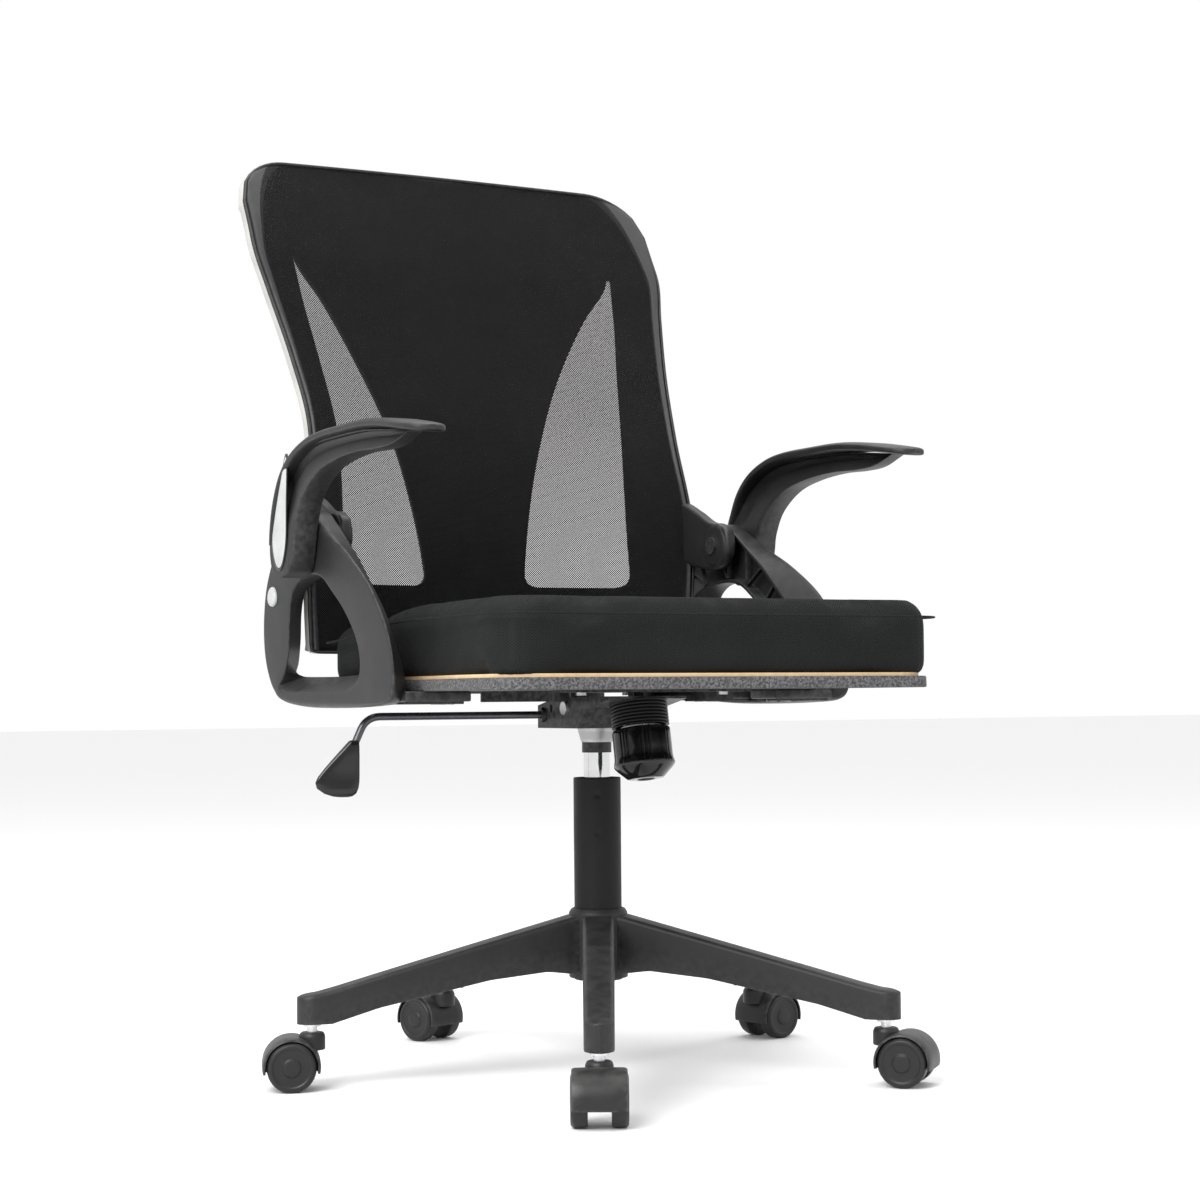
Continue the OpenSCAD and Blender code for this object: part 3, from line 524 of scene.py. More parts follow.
class SeatSizes(bpy.types.PropertyGroup):
    front_half: length("Front half width", "Half the cushion's width at its front", 0.255)
    rear_half: length("Rear half width", "Half the cushion's width at its rear", 0.242)
    front: length("Front", "How far the cushion reaches forward", 0.290)
    rear: length("Rear", "How far the cushion reaches back", 0.200)
    rear_drop: length("Rear drop", "How much lower the cushion's top is at its rear", 0.017)
    pressure: bpy.props.FloatProperty(name="Pressure", description="How hard the cushion is filled",
        default=4.0)


class BackSizes(bpy.types.PropertyGroup):
    half: length("Half width", "Half the greatest width of the back", 0.261)
    height: length("Height", "Height of the back above the seat plate", 0.626)
    low: length("Lower edge", "Height of the back's lower edge above the seat plate", 0.048)
    sag: length("Sag", "How far the net bellies back at its middle", 0.020)
    rim_depth: length("Rim depth", "Depth of the rim at the sides", 0.015)


class ArmSizes(bpy.types.PropertyGroup):
    bracket_x: length("Bracket", "Distance from the middle to a bracket's inner face", 0.246)
    bracket_t: length("Bracket thickness", "Thickness of a side bracket", 0.024)
    arm_x: length("Arm", "Distance from the middle to an arm's inner face", 0.2704)
    arm_t: length("Arm thickness", "Thickness of an arm's side plate", 0.029)
    pad_w: length("Pad width", "Width of the arm pad", 0.050)


class KnobSizes(bpy.types.PropertyGroup):
    knob_r: length("Knob radius", "Radius of the tension knob", 0.030)
    knob_h: length("Knob height", "Height of the tension knob", 0.052)
    boot_h: length("Boot height", "Height of the ribbed boot", 0.025)
    lever_reach: length("Lever reach", "Length of the rod from the housing's wall to its bend", 0.196)


SETTINGS = {"chair_colours": ChairColours, "chair_base": BaseSizes, "chair_seat": SeatSizes,
            "chair_back": BackSizes, "chair_arms": ArmSizes, "chair_knob": KnobSizes}


def sizes(name):
    """A group's lengths in millimetres, by name."""
    g = getattr(bpy.context.scene, name)
    return type("Sizes", (), {k: getattr(g, k) * 1000 for k in g.__annotations__})


# ---- Pieces ----
def arm_direction(k):
    """Direction of the k-th arm of the base, counted from 1."""
    return bpy.context.scene.chair_base.turn + radians(72 * (k - 1))


class ChairPiece:
    """What the operators share: each makes its pieces when it is run."""
    bl_options = {"REGISTER"}

    def execute(self, context):
        self.make(context)
        return {"FINISHED"}


class MakeBase(ChairPiece, bpy.types.Operator):
    """The star base: a U channel carried along each arm, round noses, and a turned hub"""
    bl_idname = "chair.make_base"
    bl_label = "Star base"

    # heights at distances from the swivel axis: the arm's crown and its foot
    crown = ((20, 30, 60, 150, 230, 280, 300, 322), (167, 165.6, 158, 135.2, 114.8, 101.8, 97.2, 94.8))
    foot = ((20, 60, 122, 239, 288, 322), (104, 109, 103, 80, 66, 66))
    rib_pitch = 50

    def channel(self, s):
        """At distance r a channel of half width w(r), top zt(r) and foot zb(r): outer wall, crown, inner wall."""
        nose = np.radians(np.linspace(8, 87, 9))
        r = np.concatenate([np.linspace(24, s.stem_r, 46), s.stem_r + (s.half_end + 0.8) * np.sin(nose)])
        w = np.concatenate([np.interp(r[:46], [10, s.stem_r], [s.half_hub, s.half_end]),
            s.half_end * np.cos(nose)])
        zt, zb = np.interp(r, *self.crown), np.interp(r, *self.foot)
        zt[46:] -= 2.5 * (1 - np.cos(nose))
        inner = np.interp(r, [0, s.stem_r - 40, s.stem_r - 20, 400], [1, 1, 0, 0])
        zi = zb + (zt - 7 - zb) * inner + 0.4
        c = np.minimum(5.0, w * 0.6)
        a = np.radians(np.linspace(0, 90, 7))[None]
        col = lambda v: np.asarray(v)[:, None]
        side_y = np.hstack([col(w - np.minimum(2, w * 0.3)), col(w - 0.4 * np.minimum(1, w)), col(w),
                            col(w - c) + col(c) * np.cos(a)])
        side_z = np.hstack([col(zb), col(zb + 0.4), col(zb + 2), col(zt - c) + col(c) * np.sin(a)])
        wi = np.maximum(w - 4, w * 0.25)
        yy = np.hstack([side_y, col(0 * w), -side_y[:, ::-1], col(-wi), col(-wi), col(-wi * 0.8),
            col(wi * 0.8),
                        col(wi), col(wi)])
        zz = np.hstack([side_z, col(zt + 0.9), side_z[:, ::-1], col(zb), col(zi - 1.5 * inner), col(zi),
            col(zi),
                        col(zi - 1.5 * inner), col(zb)])
        return patch(np.stack([np.broadcast_to(col(r), yy.shape), yy, zz], -1), caps=True)

    def make(self, context):
        s = sizes("chair_base")
        one = [self.channel(s)]
        for r in np.arange(81, s.stem_r - self.rib_pitch, self.rib_pitch):
            w = np.interp(r, [10, s.stem_r], [s.half_hub, s.half_end]) - 3.5
            low = np.interp(r, *self.foot)
            top = np.interp(r, [30, s.stem_r], [165, 96]) - 6
            one.append(box((r - 2, -w, low + 3), (r + 2, w, top)))
            one.append(box((r - 34, -1.8, low + 3.6), (r + 16, 1.8, top - 6)))
        patches = []
        for k in range(1, 6):
            patches += moved(one, Matrix.Rotation(arm_direction(k), 4, "Z"))
        ring = [(25, 100), (31, 100), (31.3, 160), (31, 168), (28.2, 172.2), (26.2, 173), (25, 172), (25,
            100)]
        patches.append(lathe(rounded(ring, 1.6), 120))
        build("star_base_arms", patches, "base", "base_plastic", ["star_base"])


class MakeCasters(ChairPiece, bpy.types.Operator):
    """Five twin-wheel casters: an arched hood, its web and neck, and turned wheels"""
    bl_idname = "chair.make_casters"
    bl_label = "Casters"
    turns = (0, -2, -14, 14, -9.5)
    hood_half, web_half, hood_gap = 26.0, 8.5, 4.5

    def make(self, context):
        s = sizes("chair_base")
        rim, half, web = s.wheel_r + self.hood_gap, self.hood_half, self.web_half
        a = np.radians(np.linspace(-12.5, 192.5, 60))[:, None]
        y = np.array([-half, -half + 0.6, -half + 3, -half * 0.5, 0, half * 0.5, half - 3, half - 0.6, half,
                      half - 0.2, half - 3, 0, -half + 3, -half + 0.2])
        d = np.array([-2.6, -1.0, -0.2, 0.1, 0.2, 0.1, -0.2, -1.0, -2.6, -3, -3, -3, -3, -3])
        rho = rim + d[None]
        arch = patch(np.stack([s.trail + rho * np.cos(a), y[None] + 0 * a, s.wheel_r + rho * np.sin(a)], -1),
            caps=True)
        t = np.radians(np.linspace(-12.5, 192.5, 50))
        line = np.column_stack([s.trail + (rim - 2.8) * np.cos(t), s.wheel_r + (rim - 2.8) * np.sin(t)])
        plate = slab(line, -web, web, 1, 1)
        plate = (plate[0][:, [1, 0, 2]], plate[1])
        neck = lathe(rounded([(5.6, 40), (13.4, 40), (13.4, 54), (11.5, 57.8), (5.6, 58), (5.6, 40)], 1.5),
            64)
        cut = rounded([(4.05, 11), (23.6, 11), (25, 12.6), (25, 24.2), (22.6, 26.8), (20, 27), (18.6, 25.9),
                       (9.5, 25.4), (8.4, 26.9), (5, 27.2), (0, 27.2)], 0.9, 3)
        cut = np.vstack([[(0, 22)], [(4.05, 22)], cut])
        wheel = lathe(cut * [s.wheel_r / 25, 1], 96)
        p = wheel[0]
        wheel = (np.column_stack([s.trail + p[:, 0], p[:, 2], s.wheel_r + p[:, 1]]), wheel[1])
        for k, turn in enumerate(self.turns, 1):
            at = (Matrix.Rotation(arm_direction(k), 4, "Z") @ Matrix.Translation((s.stem_r, 0, 0))
                  @ Matrix.Rotation(radians(turn), 4, "Z"))
            build(f"hood_{k}", moved([arch, plate, neck], at), f"caster_{k}", "caster_plastic",
                  [f"caster_hood_{k}"])
            for side, sign in (("out", 1), ("in", -1)):
                one = [(wheel[0] * [1, sign, 1], wheel[1])]
                build(f"wheel_{side}_{k}", moved(one, at), f"wheel_{side}_{k}", "caster_plastic",
                      [f"caster_wheel_{side}_{k}"])


class MakeColumn(ChairPiece, bpy.types.Operator):
    """The column tube: a turned wall with a rolled rim and two punched dimples"""
    bl_idname = "chair.make_column"
    bl_label = "Column tube"
    dimples = ((-118, 292), (-118, 252))
    radius, bore, foot_z, top_z = 25.0, 14.1, 98, 310

    def dents(self, r, z, a):
        """Each dimple takes 1.3 mm from the outer radius, as exp(-(distance / 3)^2)."""
        cut = 0
        for turn, height in self.dimples:
            gap = (np.abs((a - radians(turn) + pi) % (2 * pi) - pi) * self.radius) ** 2 + (z - height) ** 2
            cut = cut - 1.3 * np.exp(-gap / 9)
        return np.where(r > self.radius - 0.5, cut, 0)

    def make(self, context):
        top, foot = self.top_z, [(self.bore, self.foot_z)]
        z = np.concatenate([np.linspace(self.foot_z, 240, 8), np.linspace(244, top - 3, 90)])
        wall = np.column_stack([np.full(len(z), self.radius), z])
        rim = rounded([(25, top - 3), (24.9, top - 0.6), (23.9, top), (23.45, top - 1), (23.45, top - 14),
                       (20, top - 14), (self.bore, top - 14.5)], 0.8)
        line = np.vstack([foot, wall, rim[1:], foot])
        build("column_wall", [lathe(line, 160, self.dents)], "base", "column_paint", ["column_tube"])


class MakeKnob(ChairPiece, bpy.types.Operator):
    """The tension knob, its ribbed boot and the spring inside it"""
    bl_idname = "chair.make_knob"
    bl_label = "Tension knob"
    axis_y, axis_drop, axis_lean, coil_r, wire_r = -90, 11, -11, 17, 1.8

    def flutes(self, r, z, a):
        """Eight groups of three flutes: the radius drops by up to 1.3 mm where the angle is near a flute."""
        local = (a * 4 / pi) % 1.0 - 0.5
        near = np.min([np.abs(local - c) for c in (-0.17, 0.0, 0.17)], axis=0)
        cut = np.clip(1 - (near / 0.055) ** 2, 0, 1) ** 0.7
        return -1.3 * cut * np.clip((z - self.low - 15) / 5, 0, 1) * (r > 20)

    def make(self, context):
        s = sizes("chair_knob")
        at = (Matrix.Translation((0, self.axis_y, PLATE_Z - self.axis_drop))
              @ Matrix.Rotation(radians(self.axis_lean), 4, "X"))
        self.low = -s.boot_h - 2.3 - s.knob_h
        z = self.low + np.array([4, 4, 0.4, 0, 1.0, 11, 13.5, 15, 17, 20, 24, 30, 36, 42, 47, 50, 51.4, 52,
            52, 52, 4])
        r = np.array([4.1, 8, 9, 10.5, 18.5, 29, 31, 31.6, 31.2, 30.4, 30, 30, 30, 30, 30, 29.8, 29, 27.6, 12,
            4.1, 4.1])
        build("knob", moved([lathe(np.column_stack([r * s.knob_r / 30, z]), 360, self.flutes)], at),
            "tension_knob",
              "gloss_plastic", ["tension_knob"], angle=50)
        t = np.linspace(0, 1, 85)
        ripple = 28.6 + 1.1 * np.abs(np.cos(t * pi * 7)) ** 0.7
        outer = np.column_stack([ripple, -s.boot_h + 0.3 + t * (s.boot_h - 0.6)])
        inner = outer[::-4] - [3.2, 0]
        boot = build("boot", moved([lathe(np.vstack([outer, inner, outer[:1]]), 120)], at), None,
                     "gloss_plastic", ["tension_boot"], angle=60, paint=finish("boot_rubber"))
        turn = np.linspace(0, 2 * pi * 5, 240)
        coil = np.column_stack([self.coil_r * np.cos(turn), self.coil_r * np.sin(turn),
                                -s.boot_h + 3 + (s.boot_h - 6) * turn / turn[-1]])
        spring = build("spring", moved([tube(coil, self.wire_r, 10)], at), None, "dark_steel",
                       ["tension_spring"])
        for piece in (boot, spring):
            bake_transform(piece)


class MakeLever(ChairPiece, bpy.types.Operator):
    """The height lever: a bent rod with its flat tongue, and a flared paddle"""
    bl_idname = "chair.make_lever"
    bl_label = "Lever"

    pivot, sweep, bend_angle = (-43.5, 35, PLATE_Z - 23), -7.4, 24
    # from the paddle's top to its foot: z from the bend, its left and right edges, half its thickness
    stations = ((-24, -16.5, -10.5, 3.4), (-24.5, -18.2, -9, 4.6), (-26, -19.6, -8.2, 5.2), (-31, -24.4, -7.8,
        5.5),
                (-40, -33, -7.6, 5.5), (-52, -44, -7.6, 5.3), (-61, -51.4, -7.6, 5.1), (-67, -54.2, -7.8,
                    4.9),
                (-73, -52.8, -8.6, 4.5), (-78.5, -45, -11, 3.7), (-81.5, -36, -15, 2.5), (-82.4, -28, -20,
                    1.0))

    def paddle(self):
        """At each station a superellipse between its edges, thinned by up to 1.3 mm in the middle of its face."""
        z, left, right, thick = np.array(self.stations, float).T[:, :, None]
        a = np.linspace(0, 2 * pi, 56, endpoint=False)
        across, deep = (np.sign(v) * np.abs(v) ** 0.62 for v in (np.cos(a), np.sin(a)))
        yy = thick * deep
        inside = np.clip(1.15 - np.abs(across) ** 3 * 1.15, 0, 1) * np.exp(-((z + 60) / 15) ** 4)
        yy = yy - np.sign(yy) * 1.3 * inside
        xx = (left + right) / 2 + (right - left) / 2 * across
        return np.stack([xx, yy, z + 0 * xx], -1)

    def make(self, context):
        at = Matrix.Translation(self.pivot) @ Matrix.Rotation(radians(self.sweep), 4, "Z")
        bend = np.array([-sizes("chair_knob").lever_reach, 0, 0])
        out = np.array([-sin(radians(self.bend_angle)), 0, -cos(radians(self.bend_angle))])
        path = even(rounded([(21.5, 0, 0), bend, bend + out * 42], 15, 10), 80)
        tongue = [box((20, -4, 1), (56, 4, 3.5)), box((28, -36, 1), (56, 0, 3.5))]
        build("lever_bar", moved([tube(path, 4, 20)] + tongue, at), "lever", "dark_steel", ["lever_rod"])
        build("paddle", moved([patch(bend + self.paddle(), caps=True)], at), "lever", "gloss_plastic",
              ["lever_paddle"], angle=55)


class MakeBrackets(ChairPiece, bpy.types.Operator):
    """The side brackets: a hollow loop whose opening widens outwards, stiffening ribs and two feet"""
    bl_idname = "chair.make_brackets"
    bl_label = "Side brackets"
    outer = ((-82, 2), (-84, 26), (-74, 55), (-52, 84), (-20, 114), (32, 145), (80, 166), (115, 183), (142,
        195),
             (185, 191), (235, 163), (266, 126), (277, 88), (276, 52), (265, 24), (245, 3), (215, -8), (150,
                 -13.5),
             (60, -14.5), (-20, -13), (-66, -10))
    inner = ((-58, 0), (-54, 22), (-36, 50), (-10, 82), (24, 112), (58, 141), (88, 162), (117, 182), (142,
        194),
             (184, 190), (234, 162), (264, 126), (275, 88), (274, 52), (263, 25), (243, 4), (214, -6), (150,
                 -11.5),
             (60, -12.5), (-20, -11), (-48, -8))
    wide = ((3, 38), (17, 62), (45, 87), (77, 107), (106, 123), (135, 127), (165, 123), (186, 108), (194, 80),
            (197, 46), (210, 24), (226, 9), (205, 3), (160, 2), (80, 2), (32, 4), (7, 15))
    narrow = ((19, 46), (27, 66), (51, 87), (80, 106), (108, 122), (140, 126), (178, 122), (207, 111), (218,
        90),
              (221, 60), (227, 36), (234, 25), (214, 21), (165, 20), (95, 20), (50, 22), (23, 31))
    centre = np.array([118.0, 72.0])
    radii = (1.5, 9.0, 3.5, 2.0, 1.0, 1.5, 1.5, 1.0)  # of the corners of the wall, in their order
    hollow, rib, feet = 12.0, 1.1, (-45, 110)

    def around(self, points, turns):
        """Points of a closed outline at the given angles round the centre."""
        line = even(spline(points, 900, True), 1200, True)
        angle = np.arctan2(line[:, 1] - self.centre[1], line[:, 0] - self.centre[0])
        order = np.argsort(angle)
        k = np.concatenate([angle[order] - 2 * pi, angle[order], angle[order] + 2 * pi])
        return np.column_stack([np.interp(turns, k, np.tile(line[order][:, i], 3)) for i in (0, 1)])

    def corners(self, x0, x1, count=280):
        """The wall's corners at each angle: seat side, outside, opening, and the hollow behind."""
        first = even(spline(self.outer, 900, True), count, True)
        turns = np.arctan2(first[:, 1] - self.centre[1], first[:, 0] - self.centre[0])
        po, pi_, qo, qi = (self.around(o, turns) for o in (self.outer, self.inner, self.wide, self.narrow))
        deep = self.hollow / (x1 - x0)
        pd, qd = pi_ + (po - pi_) * deep, qi + (qo - qi) * deep
        step = lambda a, b, d: a + (b - a) / np.linalg.norm(b - a, axis=1)[:, None] * d
        back = x0 + self.hollow
        rows = ((x0, pi_), (x1, po), (x1, qo), (x0, qi), (x0, step(qi, pi_, 4)), (back, step(qd, pd, 5)),
                (back, step(pd, qd, 5)), (x0, step(pi_, qi, 4)))
        return np.stack([np.column_stack([np.full(count, x), p]) for x, p in rows], 1)

    def section(self, c):
        """Each corner becomes the quadratic (1-t)^2 a + 2t(1-t) c + t^2 b, from r before it to r after it."""
        r = np.array(self.radii)[None, :, None]
        to_a, to_b = np.roll(c, 1, 1) - c, np.roll(c, -1, 1) - c
        la, lb = (np.linalg.norm(v, axis=2, keepdims=True) for v in (to_a, to_b))
        a, b = c + to_a / la * np.minimum(r, 0.45 * la), c + to_b / lb * np.minimum(r, 0.45 * lb)
        t = np.linspace(0, 1, 6)[None, None, :, None]
        a, b, c = a[:, :, None], b[:, :, None], c[:, :, None]
        return ((1 - t) ** 2 * a + 2 * t * (1 - t) * c + t * t * b).reshape(len(c), -1, 3)

    def ribs(self, c, x0):
        """Slanting ribs in the hollow, each from the outer edge to the opening a few steps before or after it."""
        edge, hole, n, ribs = c[:, 0, 1:], c[:, 3, 1:], len(c), []
        for i in range(0, n, 13):
            j = (i + (7 if (i // 13) % 2 else -5)) % n
            a = edge[i] + (hole[i] - edge[i]) / np.linalg.norm(hole[i] - edge[i]) * 3
            b = hole[j] - (hole[j] - edge[j]) / np.linalg.norm(hole[j] - edge[j]) * 6
            t = (b - a) / np.linalg.norm(b - a)
            side = np.array([-t[1], t[0]]) * self.rib
            quad = np.array([a - side, b - side, b + side, a + side])
            line = np.vstack([np.linspace(quad[k], quad[(k + 1) % 4], 4)[:-1] for k in range(4)])
            ribs.append(slab(line, x0 + 1.0, x0 + 6.5, 0.3, 0.3, 2))
        return ribs

    def make(self, context):
        s = sizes("chair_arms")
        x0, x1 = s.bracket_x, s.bracket_x + s.bracket_t
        c = self.corners(x0, x1)
        patches = [patch(self.section(c), (True, True))] + self.ribs(c, x0)
        for y in self.feet:
            patches.append(box((x0 - 66, y - 26, -8), (x0 + 6, y + 26, 2.5), 1.6))
            for d in (-20, 0, 20):
                patches.append(box((x0 - 60, y + d - 1.2, -10.5), (x0 + 4, y + d + 1.2, -7.5), 0.5))
        for name, side in SIDES.items():
            build(f"loop_{name}", mirrored(raised(patches), side), "seat", "base_plastic",
                  [f"bracket_{name}"], angle=42)


class MakeArms(ChairPiece, bpy.types.Operator):
    """The arms: a side plate with hollowed faces, a crowned pad and a domed teardrop cap"""
    bl_idname = "chair.make_arms"
    bl_label = "Arms"
    top = ((150, 124), (171, 133), (180, 152), (179, 176), (170, 203), (148, 231), (115, 250), (70, 259), (10,
        261),
           (-60, 260.5), (-120, 255), (-156, 250.5))
    low = ((142, 124), (124, 130), (114, 146), (109, 164), (104, 183), (87, 207), (50, 227), (5, 236), (-45,
        239.5),
           (-90, 238.5), (-125, 240), (-160, 249.5))
    cap = ((125, 252), (141, 225), (158, 188), (166, 160), (155, 136), (140, 135), (128, 160), (126, 200))
    # pad stations: top y, z; foot y, z; half width; middle x
    stations = ((181, 160, 172, 160, 14.4, 285), (179, 178, 169, 176, 14.6, 285), (169, 206, 159, 200, 15.2,
        285),
                (147, 234, 140, 225, 17.2, 284), (114, 253, 110, 243.5, 20.2, 282.2), (72, 265, 71, 255, 22.8,
                    280),
                (30, 269.6, 30, 259.6, 24.4, 278), (-20, 270.2, -20, 260.2, 25, 277.4),
                (-75, 270, -75, 259.8, 25, 277.4), (-120, 265.8, -120, 256, 25, 277.4),
                (-155, 260.4, -155, 251, 24.4, 277.4), (-177, 256.6, -177, 247.6, 21, 277.4),
                (-189, 254.4, -189, 246, 14.5, 277.4), (-195, 252.4, -195, 247.6, 5, 277.4))

    def plate(self, s):
        """Between the top and low curves, with each face hollowed under the pad and a lip below the hollow."""
        n = 150
        t, b = spline(self.top, n), spline(self.low, n)
        k = np.linspace(0, 1, n)[:, None]
        share = np.array([0, 0.015, 0.05, 0.09, 0.12, 0.25, 0.38, 0.43, 0.46, 0.5, 0.62, 0.76, 0.88, 0.95,
            0.985, 1])
        depth = np.array([1.6, 0.5, 0.2, 1.0, 6.5, 9.0, 9.6, 9.0, 6.2, 5.6, 4.4, 2.6, 1.2, 0.4, 0.9, 2.4])
        plain = np.array([2.6, 1.0, 0.2, 0, 0, 0, 0, 0, 0, 0, 0, 0, 0, 0.2, 1.0, 2.6])
        mixd = np.clip((k - 0.30) / 0.14, 0, 1)
        mixd = mixd * mixd * (3 - 2 * mixd)
        d = plain[None] * (1 - mixd) + depth[None] * mixd
        x0 = s.arm_x + np.interp(k, [0, 0.4, 1], [0, 0, 1.5])
        x1 = s.arm_x + s.arm_t - np.interp(k, [0, 0.45, 0.8, 1], [0, 2, 7, 12])
        squeeze = np.minimum(1, (x1 - x0) / 26)
        yz = t[:, None] + share[None, :, None] * (b - t)[:, None]
        near = np.concatenate([(x0 + d * squeeze)[..., None], yz], -1)
        far = np.concatenate([(x1 - d * squeeze)[..., None], yz], -1)[:, ::-1]
        return patch(np.concatenate([near, far], 1), caps=True)

    def pad(self):
        """A superellipse section carried through the stations, flatter on top than below."""
        st = spline(self.stations, 110)
        a = np.linspace(0, 2 * pi, 56, endpoint=False)
        c, q = np.cos(a), np.sin(a)
        wide = np.sign(c) * np.abs(c) ** 0.55
        high = np.where(q > 0, np.abs(q) ** 0.8, -(np.abs(q) ** 0.45))
        mid, half = (st[:, 0:2] + st[:, 2:4]) / 2, (st[:, 0:2] - st[:, 2:4]) / 2
        yz = mid[:, None] + high[None, :, None] * half[:, None]
        x = st[:, 5:6] + st[:, 4:5] * wide[None]
        return patch(np.concatenate([x[..., None], yz], -1), caps=True)

    def make(self, context):
        s = sizes("chair_arms")
        s.arm_x += 0.1
        x1 = s.arm_x + s.arm_t
        line = even(spline(self.cap, 400, True), 120, True)
        middle = line.mean(0)
        shell = raised([self.plate(s), self.pad()])
        # A ring of near-black gloss plastic round the cap: painted shade for the shadow in the gap round the cap
        groove = raised([slab(offset(line, -1.6), x1 - 0.9, x1 + 0.5, 0.2, 0.5)])
        cap = raised([dome(line, middle, x1 - 0.5, 3.2, 14), slab(line, x1 - 1, x1 - 0.5, 0.1, 0.1)])
        for name, side in SIDES.items():
            arm = f"arm_{name}"
            build(f"armrest_{name}", mirrored(shell, side), arm, "base_plastic", [arm], angle=40)
            build(f"cap_shade_ring_{name}", mirrored(groove, side), arm, "gloss_plastic")
            build(f"teardrop_{name}", mirrored(cap, side), arm, "silver_plastic", [f"arm_cap_{name}"],
                angle=50)


class MakeButtons(ChairPiece, bpy.types.Operator):
    """The release buttons: an egg-shaped dome on a short skirt"""
    bl_idname = "chair.make_buttons"
    bl_label = "Release buttons"

    def make(self, context):
        s = sizes("chair_arms")
        x1 = s.bracket_x + s.bracket_t
        a = np.linspace(0, 2 * pi, 64, endpoint=False)
        egg = np.column_stack([242 + 11 * np.cos(a) * (1 - 0.16 * np.sin(a)), 108 + 10.8 * np.sin(a)])
        knob = raised([slab(egg, x1 - 4, x1 + 1.4, 0.3, 0.3), dome(egg, egg.mean(0), x1 + 1.1, 3.6, 10)])
        for name, side in SIDES.items():
            build(f"button_{name}", mirrored(knob, side), f"button_{name}", "silver_plastic",
                  [f"release_button_{name}"], angle=50)


